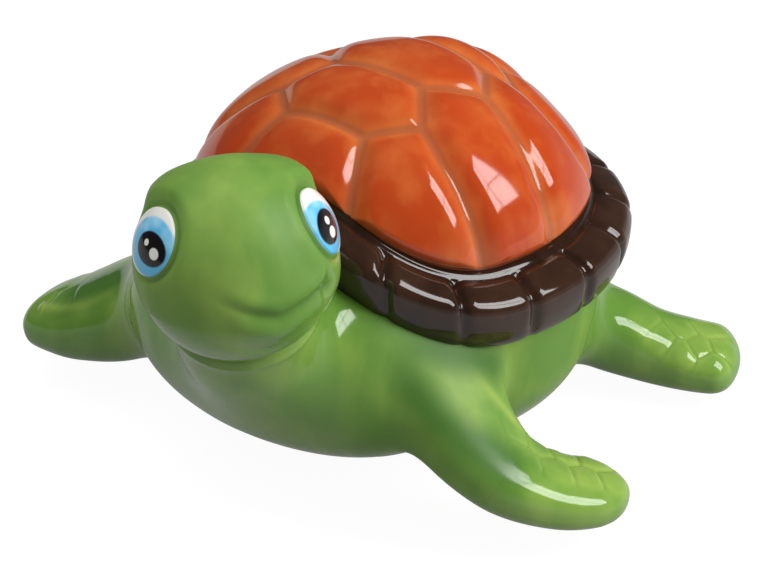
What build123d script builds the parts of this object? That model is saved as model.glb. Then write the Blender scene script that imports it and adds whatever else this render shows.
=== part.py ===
"""A glazed earthenware sea turtle, built up from hollow castings.

The turtle faces -Y, its left side is +X, and the flat foot under its belly rests on the XY plane, with the
origin in the middle of that foot. Sizes are in millimetres, angles in degrees. A bearing is measured in plan
from the turtle's front and grows towards its left.
"""
import os
from math import cos, radians, sin, sqrt

from build123d import *

# Clay and cutters
wall = 5.0  # thickness of the cast clay
cut_overrun = 30.0  # how far a cutter runs past what it cuts
vent_radius = 2.5  # hole between a limb's hollow and the body's
vent_lift = 7.0  # how far above the limb's centre line it is
foot_hole_radius = 6.0  # drain hole in the foot
foot_hole_back = 20.0  # how far behind the middle of the foot it is

# Carapace: the upper half of a round egg, cut off along an edge that arches over the neck
shell_radius = 73.5
shell_rise = 52.0
spring_height = 87.0  # height of the egg's middle, where its side stands upright
edge_height = 89.5  # lower edge of the dome along the flanks and the rear
arch_rise = 27.5  # how much higher that edge is over the neck
arch_half_width = 68.0
arch_power = 1.55
arch_point_count = 13
edge_solve_rounds = 12

# Scutes: five along the back and four on each side, parted by grooves
scute_groove_width = 2.6
scute_groove_depth = 1.8
# Corners of the row along the back, from front to rear: shares of the shell's radius
back_scute_shares = [
    (0.40, -0.88),
    (0.24, -0.53),
    (0.425, -0.34),
    (0.265, -0.115),
    (0.46, 0.10),
    (0.28, 0.33),
    (0.43, 0.46),
    (0.22, 0.64),
    (0.38, 0.96),
]
# Side grooves run from a corner of that row down to the edge
side_scute_starts = [2, 4, 6]
side_scute_shares = [
    [(0.62, -0.395), (0.78, -0.435), (0.92, -0.46)],
    [(0.74, 0.035), (0.92, -0.055), (1.02, -0.06)],
    [(0.72, 0.44), (0.88, 0.36), (0.98, 0.30)],
]
# Grooves across the back join the narrow corners
cross_scute_starts = [1, 3, 5, 7]

# Rim: a ring of marginal scutes round the edge
rim_reach = 13.0
rim_depth = 25.5
rim_bite = 7.0  # how far the ring's section runs into the body before it is cut back
rim_station_angle = 15.0
rim_scute_count = 20
rim_groove_width = 2.4
rim_groove_depth = 1.6
# Outline of the ring's section: shares of its reach and of its depth
rim_outline_shares = [(0.03, 0.06), (0.46, 0.10), (0.84, 0.35), (1.0, 0.59), (0.82, 0.88), (0.15, 1.0)]

# Body: a bowl of oval sections with a collar that carries the shell
body_bulge = 6.0  # how far the bowl stands out past the shell's plan
body_end_bulge = 2.0
collar_inset = 1.0  # how far behind the dome's front edge the collar is cut off square
collar_overlap = 20.0  # how far the collar runs down inside the bowl
# Sections of the bowl: share of the spring height, then share of the bowl's half sizes
bowl_shares = [
    (0.0, 0.50),
    (0.035, 0.625),
    (0.14, 0.755),
    (0.31, 0.865),
    (0.48, 0.945),
    (0.63, 0.985),
    (0.76, 1.0),
    (0.88, 0.97),
    (1.06, 0.88),
]
chest_half_width = 63.0
chest_radius = 40.0
chest_forward = 57.0
chest_height = 49.0

# Head, turned to the turtle's left on a short neck
head_radius = 33.7
head_side = 16.5  # from the root of the neck to the middle of the head
head_forward = 51.0
head_lift = 57.5
head_yaw = 55.5
head_pitch = 0.0
head_roll = -2.0
neck_root_shares = (0.027, -0.79, 0.644)  # of the shell's radius, twice, and of the spring height
neck_root_radius = 31.0
neck_bend_shares = (0.55, 0.66, 0.32)  # middle of the neck, on the way from its root to the head
neck_radius = 25.0

# Eyes: oval pads laid on the sides of the head
eye_half_width = 8.6
eye_half_height = 12.2
eye_stand = 2.5  # how far the middle of a pad stands out from the head
eye_ball_radius = 22.0  # roundness of a pad's face
eye_bearing = 70.0  # from the head's own front
eye_elevation = 28.0

# Flippers: place of the root, reach sideways, sweep to the rear, drop, and the oval at the thickest place
front_root_shares = (0.626, -0.49, 0.69)  # of the shell's radius, twice, and of the spring height
front_flipper_width = 25.0
front_flipper_thickness = 20.5
front_left_reach = 73.0
front_left_sweep = 18.0
front_right_reach = 85.0
front_right_sweep = 24.0
front_drop = 50.0
rear_root_shares = (0.6, 0.545, 0.39)
rear_reach = 65.0
rear_sweep = 38.0
rear_drop = 22.0
rear_flipper_width = 20.0
rear_flipper_thickness = 15.5

# Sections of each flipper: shares of reach, sweep, drop, width and thickness
front_left_shares = [
    (0.0, 0.0, 0.0, 0.78, 0.85),
    (0.18, -0.80, 0.14, 0.80, 0.83),
    (0.40, -1.12, 0.38, 0.73, 0.74),
    (0.61, -0.90, 0.66, 0.68, 0.62),
    (0.79, -0.30, 0.84, 0.61, 0.53),
    (0.93, 0.44, 0.93, 0.46, 0.43),
    (1.0, 1.0, 0.95, 0.15, 0.18),
]
front_right_shares = [
    (0.0, 0.0, 0.20, 0.82, 0.88),
    (0.21, -0.42, 0.37, 0.92, 0.92),
    (0.45, -0.71, 0.60, 0.97, 0.90),
    (0.66, -0.92, 0.76, 0.93, 0.79),
    (0.82, -1.0, 0.84, 0.79, 0.65),
    (0.94, -1.0, 0.90, 0.52, 0.46),
    (1.0, -1.0, 0.91, 0.16, 0.18),
]
rear_shares = [
    (0.0, 0.0, 0.0, 0.88, 0.95),
    (0.28, 0.32, 0.38, 0.88, 0.94),
    (0.52, 0.55, 0.69, 0.90, 0.88),
    (0.72, 0.74, 0.88, 0.91, 0.77),
    (0.89, 0.90, 0.97, 0.70, 0.64),
    (1.0, 1.0, 1.0, 0.17, 0.22),
]

# Tail
tail_root_shares = (0.0, 0.79, 0.483)  # of the shell's radius, twice, and of the spring height
tail_reach = 46.0
tail_drop = 25.0
tail_half_width = 15.0
tail_half_thickness = 12.0
# Sections of the tail: shares of reach, drop, width and thickness
tail_shares = [
    (0.0, 0.0, 1.0, 1.0),
    (0.4, 0.36, 0.84, 0.84),
    (0.72, 0.72, 0.56, 0.58),
    (0.92, 0.93, 0.28, 0.32),
    (1.0, 1.0, 0.1, 0.12),
]


def shell_egg(shrink):
    """The round egg whose upper half is the carapace, drawn in by the shrink."""
    radius = shell_radius - shrink
    return Pos(0, 0, spring_height) * scale(Sphere(1), by=(radius, radius, shell_rise - shrink))


def chest_egg(shrink):
    """The egg that lies across the body under the neck, drawn in by the shrink."""
    radius = chest_radius - shrink
    level_ball = Rotation(90, 0, 0) * Sphere(1)
    block = scale(level_ball, by=(chest_half_width - shrink, radius, radius))
    return Pos(0, -chest_forward, chest_height) * block


def edge_point(bearing):
    """The point of the dome's lower edge at a bearing, where the egg meets the arched edge."""
    share = 1.0
    height = edge_height
    side = sin(radians(bearing))
    ahead = cos(radians(bearing))
    for _ in range(edge_solve_rounds):
        if ahead > 0:
            height = arch_height(shell_radius * share * side)
        share = sqrt(1 - ((height - spring_height) / shell_rise) ** 2)
    return Vector(shell_radius * share * side, -shell_radius * share * ahead, height)


def arch_height(x):
    """Height of the arched edge at a distance x from the turtle's middle plane."""
    inside = max(0.0, 1 - (x / arch_half_width) ** 2)
    return edge_height + arch_rise * inside**arch_power


def rim_section(bearing, shrink):
    """The ring's upright section at a bearing, drawn in by the shrink on its outer side."""
    outward = Vector(sin(radians(bearing)), -cos(radians(bearing)), 0)
    place = Plane(edge_point(bearing), x_dir=outward, z_dir=outward.cross(Vector(0, 0, 1)))
    reach = rim_reach - shrink
    depth = rim_depth - shrink
    outline = [(reach * out, -shrink * (1 - down) - depth * down) for out, down in rim_outline_shares]
    with BuildSketch(place) as section:
        with BuildLine():
            face_line = Spline(*outline)
            Polyline(face_line @ 1, (-rim_bite, outline[-1][1]), (-rim_bite, outline[0][1]), face_line @ 0)
        make_face()
    return section.sketch


def root_point(shares):
    """A limb's root inside the body: shares of the shell's radius, twice, and of the spring height."""
    side, back, up = shares
    return Vector(shell_radius * side, shell_radius * back, spring_height * up)


def limb_rows(root, reach, sweep, drop, width, thickness, shares, side):
    """Centres and half sizes of a limb's sections, on the left for side 1 and on the right for side -1."""
    rows = []
    for out, along, down, wide, thick in shares:
        centre = Vector(side * (root.X + reach * out), root.Y + sweep * along, root.Z - drop * down)
        rows.append((centre, width * wide, thickness * thick))
    return rows


def limb_sections(rows, shrink):
    """Oval sections square to a limb's centre line, drawn in by the shrink, where any of them remains."""
    sections = []
    for place, (centre, half_width, half_thickness) in enumerate(rows):
        before = rows[max(place - 1, 0)][0]
        after = rows[min(place + 1, len(rows) - 1)][0]
        along = (after - before).normalized()
        across = along.cross(Vector(0, 0, 1)).normalized()
        if half_thickness <= shrink or half_width <= shrink:
            continue
        with BuildSketch(Plane(centre, x_dir=across, z_dir=along)) as section:
            with BuildLine():
                for start in (0, 180):
                    EllipticalCenterArc(
                        (0, 0), half_width - shrink, half_thickness - shrink, start_angle=start, arc_size=180
                    )
            make_face()
        sections.append(section.sketch)
    return sections


# Solid that stands above the dome's lower edge
arch_run = shell_radius + cut_overrun
arch_top = spring_height + shell_rise + cut_overrun
arch_xs = [arch_half_width * (2 * i / (arch_point_count - 1) - 1) for i in range(arch_point_count)]
arch_points = [(x, arch_height(x)) for x in arch_xs]
with BuildPart() as above_edge:
    with BuildSketch(Plane.XZ):
        with BuildLine():
            arch = Spline(*arch_points, tangents=[(1, 0), (1, 0)])
            Polyline(
                arch @ 1,
                (arch_run, edge_height),
                (arch_run, arch_top),
                (-arch_run, arch_top),
                (-arch_run, edge_height),
                arch @ 0,
            )
        make_face()
    extrude(amount=shell_radius + cut_overrun)
    with BuildSketch(Plane.XY.offset(edge_height)):
        Rectangle(2 * arch_run, shell_radius + cut_overrun, align=(Align.CENTER, Align.MIN))
    extrude(amount=arch_top - edge_height)

# Grooves between the scutes, as bars that reach down to the groove's bottom
shell_block = shell_egg(0)
shell_hollow = shell_egg(wall)
groove_floor = shell_egg(scute_groove_depth)
back_corners = [(shell_radius * x, shell_radius * y) for x, y in back_scute_shares]
with BuildPart() as scute_grooves:
    with BuildSketch(Plane.XY.offset(spring_height)):
        with BuildLine() as groove_lines:
            Polyline(*back_corners)
            for start, shares in zip(side_scute_starts, side_scute_shares):
                Polyline(back_corners[start], *[(shell_radius * x, shell_radius * y) for x, y in shares])
            mirror(about=Plane.YZ)
            for start in cross_scute_starts:
                Line(back_corners[start], (-back_corners[start][0], back_corners[start][1]))
        trace(line_width=scute_groove_width)
    extrude(amount=arch_top - spring_height)
    add(groove_floor, mode=Mode.SUBTRACT)

with BuildPart() as carapace_dome:
    add(shell_block)
    add(shell_hollow, mode=Mode.SUBTRACT)
    add(above_edge.part, mode=Mode.INTERSECT)
    add(scute_grooves.part, mode=Mode.SUBTRACT)

# Body without its hollow
bowl_half_width = shell_radius + body_bulge
bowl_half_length = shell_radius + body_end_bulge


def bowl_sections(shrink):
    """Level oval sections of the bowl, drawn in by the shrink, from the foot up to the collar."""
    sections = []
    for height_share, size_share in bowl_shares:
        height = max(height_share * spring_height, shrink)
        with BuildSketch(Plane.XY.offset(height)) as section:
            Ellipse(bowl_half_width * size_share - shrink, bowl_half_length * size_share - shrink)
        if not sections or height > sections[-1].center().Z:
            sections.append(section.sketch)
    return sections


collar_front = -edge_point(0).Y - collar_inset
collar_length = shell_radius + collar_front
collar_middle = (shell_radius - collar_front) / 2


def collar(shrink):
    """Upright oval that carries the shell, cut off square behind the neck and drawn in by the shrink."""
    with BuildPart() as block:
        with BuildSketch(Plane.XY.offset(spring_height - collar_overlap)):
            Circle(shell_radius - shrink)
            with Locations((0, collar_middle)):
                Rectangle(2 * arch_run, collar_length - 2 * shrink, mode=Mode.INTERSECT)
        extrude(amount=collar_overlap + shell_rise)
    return block.part


chest_block = chest_egg(0)
chest_hollow = chest_egg(wall)
body_sections = bowl_sections(0)
hollow_sections = bowl_sections(wall)
body_collar = collar(0)
hollow_collar = collar(wall)
with BuildPart() as body_block:
    loft(body_sections)
    add(body_collar)
    add(chest_block)
    add(above_edge.part, mode=Mode.SUBTRACT)

with BuildPart() as body_hollow:
    loft(hollow_sections)
    add(hollow_collar)
    add(chest_hollow)

# Rim ring, made as two halves that meet on the turtle's middle plane
rim_bearings = [rim_station_angle * i for i in range(round(180 / rim_station_angle) + 1)]
rim_sections = [rim_section(bearing, 0) for bearing in rim_bearings]
rim_floor_sections = [rim_section(bearing, rim_groove_depth) for bearing in rim_bearings]
with BuildPart() as rim_floor:
    loft(rim_floor_sections)
    mirror(about=Plane.YZ)

rim_groove_bars = []
for station in range(rim_scute_count):
    bearing = 360 * station / rim_scute_count
    outward = Vector(sin(radians(bearing)), -cos(radians(bearing)), 0)
    rim_groove_bars.append(Plane(edge_point(bearing), x_dir=outward, z_dir=(0, 0, 1)))
with BuildPart() as rim_grooves:
    with Locations(*rim_groove_bars):
        Box(2 * (rim_reach + cut_overrun), rim_groove_width, 2 * (rim_depth + cut_overrun))
    add(rim_floor.part, mode=Mode.SUBTRACT)

with BuildPart() as marginal_rim:
    loft(rim_sections)
    mirror(about=Plane.YZ)
    add(rim_grooves.part, mode=Mode.SUBTRACT)
    add(body_block.part, mode=Mode.SUBTRACT)

# Flippers and tail
front_root = root_point(front_root_shares)
rear_root = root_point(rear_root_shares)
tail_root = root_point(tail_root_shares)
front_left_rows = limb_rows(
    front_root,
    front_left_reach,
    front_left_sweep,
    front_drop,
    front_flipper_width,
    front_flipper_thickness,
    front_left_shares,
    1,
)
front_right_rows = limb_rows(
    front_root,
    front_right_reach,
    front_right_sweep,
    front_drop,
    front_flipper_width,
    front_flipper_thickness,
    front_right_shares,
    -1,
)
rear_sizes = (rear_root, rear_reach, rear_sweep, rear_drop, rear_flipper_width, rear_flipper_thickness)
rear_left_rows = limb_rows(*rear_sizes, rear_shares, 1)
rear_right_rows = limb_rows(*rear_sizes, rear_shares, -1)
flipper_rows = {
    "front_left_flipper": front_left_rows,
    "front_right_flipper": front_right_rows,
    "rear_left_flipper": rear_left_rows,
    "rear_right_flipper": rear_right_rows,
}
flippers = {}
for name, rows in flipper_rows.items():
    outer_sections = limb_sections(rows, 0)
    inner_sections = limb_sections(rows, wall)
    with BuildPart() as flipper:
        loft(outer_sections)
        loft(inner_sections, mode=Mode.SUBTRACT)
        add(body_block.part, mode=Mode.SUBTRACT)
        add(marginal_rim.part, mode=Mode.SUBTRACT)
    flippers[name] = flipper.part

tail_rows = []
for out, down, wide, thick in tail_shares:
    centre = tail_root + Vector(0, tail_reach * out, -tail_drop * down)
    tail_rows.append((centre, tail_half_width * wide, tail_half_thickness * thick))
tail_sections = limb_sections(tail_rows, 0)
with BuildPart() as tail:
    loft(tail_sections)
    add(body_block.part, mode=Mode.SUBTRACT)

# Head and neck
head_turn = Rotation(0, 0, head_yaw) * Rotation(-head_pitch, 0, 0) * Rotation(0, -head_roll, 0)
neck_start = root_point(neck_root_shares)
neck_end = neck_start + Vector(head_side, -head_forward, head_lift)
head_location = Location(neck_end) * head_turn
bend_side, bend_forward, bend_lift = neck_bend_shares
neck_middle = neck_start + Vector(head_side * bend_side, -head_forward * bend_forward, head_lift * bend_lift)
neck_rows = [
    (neck_start, neck_root_radius, neck_root_radius),
    (neck_middle, neck_radius, neck_radius),
    (neck_end, neck_radius, neck_radius),
]
neck_sections = limb_sections(neck_rows, 0)
neck_core_sections = limb_sections(neck_rows, wall)
with BuildPart() as head_block:
    loft(neck_sections)
    with Locations(head_location):
        Sphere(head_radius)

with BuildPart() as head:
    add(head_block.part)
    loft(neck_core_sections, mode=Mode.SUBTRACT)
    with Locations(head_location):
        Sphere(head_radius - wall, mode=Mode.SUBTRACT)
    add(body_block.part, mode=Mode.SUBTRACT)
    add(marginal_rim.part, mode=Mode.SUBTRACT)

# Eyes
eyes = {}
for name, side in (("left_eye", 1), ("right_eye", -1)):
    look = head_location * Rotation(0, 0, side * eye_bearing) * Rotation(-eye_elevation, 0, 0)
    gaze = Plane(look * Rotation(90, 0, 0))
    with BuildPart() as eye:
        with BuildSketch(gaze):
            Ellipse(eye_half_width, eye_half_height)
        extrude(amount=head_radius + eye_stand + cut_overrun)
        with Locations(gaze.offset(head_radius + eye_stand - eye_ball_radius)):
            Sphere(eye_ball_radius, mode=Mode.INTERSECT)
        add(head_block.part, mode=Mode.SUBTRACT)
    eyes[name] = eye.part

# Vents from the body into the hollow limbs and the head
vent_offset = Vector(0, 0, vent_lift)
vent_lines = [(rows[0][0] + vent_offset, rows[2][0] + vent_offset) for rows in flipper_rows.values()]
vent_lines.append((neck_start, neck_middle))
with BuildPart() as torso:
    add(body_block.part)
    add(body_hollow.part, mode=Mode.SUBTRACT)
    for start, end in vent_lines:
        with Locations(Plane(start, z_dir=end - start)):
            Cylinder(
                vent_radius,
                (end - start).length,
                align=(Align.CENTER, Align.CENTER, Align.MIN),
                mode=Mode.SUBTRACT,
            )
    with Locations((0, foot_hole_back)):
        Cylinder(foot_hole_radius, 2 * wall + cut_overrun, mode=Mode.SUBTRACT)

pieces = {
    "torso": torso.part,
    "carapace_dome": carapace_dome.part,
    "marginal_rim": marginal_rim.part,
    "head": head.part,
    "tail": tail.part,
    **flippers,
    **eyes,
}
os.makedirs("parts", exist_ok=True)
for name, piece in pieces.items():
    piece.label = name
    export_step(piece, f"parts/{name}.step")
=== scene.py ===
"""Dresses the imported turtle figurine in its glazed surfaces.

Everything is in metres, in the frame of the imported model: +Z is up, the turtle faces -Y and its left side
is +X. A bearing is an angle in plan, measured from the turtle's front and growing towards its left. Every
surface is a grid of points worked out from two parameters, and the limbs flow into the body by a smooth
union of their fields.
"""

import bpy
import numpy as np
from bpy.props import FloatProperty, FloatVectorProperty, IntProperty, PointerProperty
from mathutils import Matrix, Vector


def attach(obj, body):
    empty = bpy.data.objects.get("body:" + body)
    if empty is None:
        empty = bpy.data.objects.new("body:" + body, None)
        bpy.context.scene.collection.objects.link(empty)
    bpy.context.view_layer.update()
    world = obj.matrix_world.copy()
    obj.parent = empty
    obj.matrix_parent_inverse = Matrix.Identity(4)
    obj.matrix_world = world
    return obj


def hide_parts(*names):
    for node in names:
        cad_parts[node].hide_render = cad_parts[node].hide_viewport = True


bl_info = {
    "name": "Turtle Figurine",
    "version": (1, 0, 0),
    "blender": (4, 5, 0),
    "location": "View3D > Sidebar > Turtle",
    "description": "Builds the glazed surfaces of a ceramic turtle around its packed solids",
    "category": "Object",
}

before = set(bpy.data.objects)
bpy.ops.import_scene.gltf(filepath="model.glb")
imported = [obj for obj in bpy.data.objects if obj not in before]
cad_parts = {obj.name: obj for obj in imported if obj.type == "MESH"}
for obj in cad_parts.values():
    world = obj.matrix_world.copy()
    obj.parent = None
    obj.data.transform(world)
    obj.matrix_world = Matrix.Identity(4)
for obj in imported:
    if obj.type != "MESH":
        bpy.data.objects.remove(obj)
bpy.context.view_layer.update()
MM = 0.001
UP = np.array([0.0, 0.0, 1.0])


# Settings


def length(name, description, millimetres):
    """A length property, given in millimetres and held in metres."""
    metres = millimetres * MM
    return FloatProperty(name=name, description=description, default=metres, unit="LENGTH", precision=5)


def number(name, description, value):
    """A plain number property."""
    return FloatProperty(name=name, description=description, default=value)


def angle(name, description, degrees):
    """An angle property, given in degrees and held in radians."""
    return FloatProperty(name=name, description=description, default=np.radians(degrees), subtype="ANGLE")


def place(name, description, millimetres):
    """A point property, given in millimetres and held in metres."""
    return FloatVectorProperty(
        name=name,
        description=description,
        default=[value * MM for value in millimetres],
        size=3,
        subtype="TRANSLATION",
        unit="LENGTH",
        precision=5,
    )


def colour(name, description, value):
    """A linear colour property."""
    return FloatVectorProperty(
        name=name, description=description, default=value, size=3, subtype="COLOR", min=0.0, max=1.0
    )


class ShellSizes(bpy.types.PropertyGroup):
    """Sizes of the domed carapace and its rim."""

    radius: length("Radius", "Plan radius of the shell's egg", 73.5)
    rise: length("Rise", "Height of the egg above its middle", 52.7)
    spring_height: length("Spring height", "Height of the egg's middle", 87.0)
    edge_height: length("Edge height", "Height of the dome's lower edge along the flanks", 89.5)
    arch_rise: length("Arch rise", "How much higher the edge is over the neck", 27.5)
    arch_half_width: length("Arch half width", "Where the arch over the neck ends", 68.0)
    arch_power: number("Arch power", "Sharpness of the arch over the neck", 1.55)
    crown: length("Scute crown", "How far the middle of a scute stands out from the egg", 0.6)
    groove_depth: length("Groove depth", "How far the grooves lie inside the egg", 2.6)
    pillow_width: length("Pillow width", "Distance over which a scute rises from its groove", 8.5)
    groove_round: length("Groove round", "Softness of a groove's floor", 2.0)
    slump: length("Slump", "How much lower the right side of the shell lies than the left", 5.0)
    rear_flat: length("Rear flat", "How much flatter the rear corners of the dome are than the egg", 4.4)
    rim_reach: length("Rim reach", "How far the rim stands out from the dome's edge", 13.0)
    rim_flare: length("Rim flare", "How much further the rim stands out behind the flanks", 1.6)
    rim_depth: length("Rim depth", "Height of the rim", 25.5)
    rim_crown: length("Rim crown", "How far a marginal scute swells", 0.3)
    rim_groove_depth: length("Rim groove depth", "Depth of the grooves across the rim", 1.6)
    rim_pillow_width: length("Rim pillow width", "Distance over which a marginal scute rises", 3.6)
    rim_groove_round: length("Rim groove round", "Softness of a rim groove's floor", 0.8)
    rim_count: IntProperty(name="Rim scutes", description="Number of marginal scutes", default=20)


class BodySizes(bpy.types.PropertyGroup):
    """Sizes of the bowl, the chest and the foot."""

    half_width: length("Half width", "Half the width of the bowl", 79.5)
    half_length: length("Half length", "Half the length of the bowl", 75.5)
    height: length("Height", "Height of the bowl's widest place", 66.0)
    depth: length("Depth", "Half height of the bowl's egg below its widest place", 76.2)
    cover: length("Cover", "Half height of the egg above its widest place, under the shell", 36.0)
    flank_swell: number("Flank swell", "How much fuller the low flanks are than the egg, as a share", 0.08)
    chest_half_width: length("Chest half width", "Half the width of the chest", 67.0)
    chest_swell: number("Chest swell", "How much wider the low chest is than its egg, as a share", 0.14)
    chest_radius: length("Chest radius", "Half the height of the chest", 38.4)
    chest_depth: length("Chest depth", "Half the depth of the chest from front to rear", 41.0)
    chest_forward: length("Chest forward", "How far forward the chest lies", 57.0)
    chest_aside: length("Chest aside", "How far the chest lies to the right of the middle", 2.2)
    chest_height: length("Chest height", "Height of the chest's middle", 53.0)
    chest_blend: length("Chest blend", "Reach of the hollow between bowl and chest", 18.0)
    foot_round: length("Foot round", "Softness of the foot's edge", 5.0)
    hole_radius: length("Drain hole radius", "Radius of the hole in the foot", 6.0)
    hole_back: length("Drain hole back", "How far the hole lies behind the middle", 20.0)
    hole_depth: length("Drain hole depth", "How far the hole's wall is modelled", 5.0)


class HeadSizes(bpy.types.PropertyGroup):
    """Sizes of the head, its face and its neck."""

    radius: length("Radius", "Radius of the head's ball", 33.1)
    centre: place("Centre", "Middle of the head", (19.5, -108.2, 113.6))
    yaw: angle("Yaw", "Turn of the head to the turtle's left", 49.4)
    roll: angle("Roll", "Lean of the head", 1.3)
    neck_root: place("Neck root", "Start of the neck inside the chest", (2.0, -58.1, 56.0))
    neck_bend: place("Neck bend", "Middle of the neck", (11.1, -91.7, 74.4))
    neck_root_radius: length("Neck root radius", "Radius of the neck in the chest", 31.0)
    neck_radius: length("Neck radius", "Radius of the neck under the head", 25.0)
    neck_fillet: length("Neck fillet", "Reach of the hollow round the neck's root", 16.0)
    jaw_fillet: length("Jaw fillet", "Reach of the crease under the jaw", 7.0)
    brow: length("Brow", "Height of the brow ridges", 3.7)
    crown: length("Crown", "How much fuller the top of the head is than its ball", 0.6)
    lid: length("Lid", "Height of the skin round an eye", 0.75)
    lid_ridge: length("Lid ridge", "Height of the fold before an eye", 0.7)
    crease: length("Crease", "Depth of the crease round an eye", 0.7)
    mouth: length("Mouth", "Depth of the mouth line", 0.65)
    upper_lip: length("Upper lip", "Height of the upper lip", 0.8)
    lower_lip: length("Lower lip", "Height of the lower lip", 1.3)
    chin_fold: length("Chin fold", "Depth of the fold under the lower lip", 0.7)
    left_eye_width: length("Left eye width", "Half the width of the left eye", 10.3)
    left_eye_height: length("Left eye height", "Half the height of the left eye", 11.5)
    right_eye_width: length("Right eye width", "Half the width of the right eye", 11.1)
    right_eye_height: length("Right eye height", "Half the height of the right eye", 11.0)
    eye_stand: length("Eye stand", "How far an eye stands out from the head's ball", 2.5)
    eye_ball: length("Eye ball", "Roundness of an eye", 22.0)
    eye_skirt: length("Eye skirt", "How far an eye's edge runs on into the head", 5.0)
    eye_bearing: angle("Eye bearing", "Bearing of an eye from the head's front", 70.0)
    eye_elevation: angle("Eye elevation", "Elevation of an eye", 28.5)


class LimbSizes(bpy.types.PropertyGroup):
    """Sizes of the flippers and the tail."""

    front_root: place("Front root", "Root of a front flipper", (46.0, -36.0, 60.0))
    front_half_width: length("Front half width", "Half width of a front flipper", 25.0)
    front_half_thickness: length("Front half thickness", "Half thickness of a front flipper", 20.5)
    front_drop: length("Front drop", "Drop of a front flipper", 50.0)
    left_reach: length("Left reach", "Reach of the front left flipper", 72.0)
    left_sweep: length("Left sweep", "Sweep of the front left flipper", 18.0)
    right_reach: length("Right reach", "Reach of the front right flipper", 82.2)
    right_sweep: length("Right sweep", "Sweep of the front right flipper", 24.0)
    rear_root: place("Rear root", "Root of a rear flipper", (44.1, 40.1, 33.9))
    rear_reach: length("Rear reach", "Reach of a rear flipper", 64.2)
    rear_sweep: length("Rear sweep", "Sweep of a rear flipper", 38.0)
    rear_drop: length("Rear drop", "Drop of a rear flipper", 22.0)
    rear_half_width: length("Rear half width", "Half width of a rear flipper", 20.0)
    rear_half_thickness: length("Rear half thickness", "Half thickness of a rear flipper", 15.5)
    tail_root: place("Tail root", "Root of the tail", (0.0, 58.1, 42.0))
    tail_reach: length("Tail reach", "Length of the tail", 46.0)
    tail_drop: length("Tail drop", "Drop of the tail", 25.0)
    tail_half_width: length("Tail half width", "Half width of the tail", 15.0)
    tail_half_thickness: length("Tail half thickness", "Half thickness of the tail", 12.0)
    fillet: length("Fillet", "Reach of the hollow round a limb's root", 13.0)


class GlazeColours(bpy.types.PropertyGroup):
    """Colours of the glazes."""

    green: colour("Green", "Body glaze", (0.125, 0.265, 0.040))
    green_thin: colour("Thin green", "Body glaze where it thins over edges", (0.27, 0.40, 0.075))
    # Deep green: the glaze where it pools, and also the painted shade by the shoulder, under the rim and at
    # the mouth
    green_pooled_and_shaded: colour("Deep green", "Body glaze where it pools", (0.060, 0.155, 0.022))
    orange: colour("Orange", "Shell glaze", (0.43, 0.050, 0.008))
    orange_thin: colour("Thin orange", "Shell glaze where it thins", (0.60, 0.150, 0.034))
    # Groove colour: painted shade with a dull painted reflection in the shell's grooves
    orange_groove: colour("Groove", "Bare brush colour in the shell's grooves", (0.28, 0.085, 0.040))
    brown: colour("Brown", "Rim glaze", (0.017, 0.007, 0.004))
    brown_thin: colour("Thin brown", "Rim glaze where it thins", (0.044, 0.019, 0.010))
    clay: colour("Clay", "Unglazed clay of the foot", (0.70, 0.62, 0.52))
    eye_white: colour("Eye white", "White of the eyes", (0.80, 0.79, 0.74))
    iris: colour("Iris", "Painted iris", (0.10, 0.46, 0.75))
    iris_light: colour("Light iris", "Paler strokes of the iris", (0.42, 0.72, 0.88))
    pupil: colour("Pupil", "Painted pupil", (0.006, 0.005, 0.005))


class StageSizes(bpy.types.PropertyGroup):
    """Camera, lights and floor."""

    camera_place: place("Camera", "Where the camera stands", (426.69, -566.24, 466.99))
    camera_target: place("Target", "What the camera looks at", (8.0, -16.68, 57.73))
    lens: number("Lens", "Focal length in millimetres on a sensor 36 mm wide", 104.21)
    floor_size: length("Floor size", "Side of the floor", 8000.0)
    floor_gap: length("Floor gap", "How far the floor lies below the foot", 0.3)
    floor_glow: number("Floor glow", "Brightness of the lit floor", 1.12)
    floor_seen: number("Floor seen", "Share of that glow that the camera sees, the rest is shadow", 0.85)
    floor_mirrored: number("Floor mirrored", "Share of that glow that reflections show", 0.20)
    sky: number("Sky", "Brightness of the room as a soft light", 0.45)
    dark_room: number("Dark room", "Brightness of the upper room, as reflections show it", 0.06)
    backdrop: number("Backdrop", "Brightness of the backdrop, as reflections show it", 0.35)
    window_bearing: angle("Window bearing", "Bearing of the window light", 106.0)
    window_elevation: angle("Window elevation", "Elevation of the window light", 42.0)
    window_distance: length("Window distance", "Distance of the window light", 1000.0)
    window_width: length("Window width", "Width of the window light", 420.0)
    window_height: length("Window height", "Height of the window light", 620.0)
    window_bar: length("Window bar", "Width of the bars between the window's panes", 14.0)
    window_aim: length("Window aim", "Height of the point that the window faces", 90.0)
    window_power: number("Window power", "Power of each of the window's four panes in watts", 1.6)
    light_aim: place("Light aim", "What the overhead and side lights look at", (0.0, 0.0, 50.0))
    fill: number("Fill", "Power of the overhead light in watts", 10.8)
    fill_place: place("Fill place", "Where the overhead light hangs", (-400.0, -150.0, 1450.0))
    fill_size: length("Fill size", "Side of the overhead light", 1300.0)
    side_fill: number("Side fill", "Power of the soft light on the left flank in watts", 4.8)
    side_place: place("Side place", "Where the side light stands", (950.0, 400.0, 250.0))
    side_width: length("Side width", "Width of the side light", 800.0)
    side_height: length("Side height", "Height of the side light", 500.0)


# Tables and shares

# Where flanks and chest swell most and how far the swell spreads, shares of the bowl's height
FLANK_LEVEL, FLANK_SPREAD = 0.33, 0.30
CHEST_LEVEL, CHEST_SPREAD = 0.22, 0.26
# Share of the bowl's half width at which the flanks' swell is full
FLANK_SIDE = 0.7
# Height of the core that the body's rays leave, a share of the bowl's height
CORE_LEVEL = 0.75
# Rings of the drain hole: shares of its radius and depth
HOLE_RINGS = [(0.0, 1.0), (0.95, 1.0), (0.95, 0.1), (1.0, 0.0), (1.04, 0.0)]
# The lowest rays meet the foot at this share of the hole's radius
HOLE_MARGIN = 1.25
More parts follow.
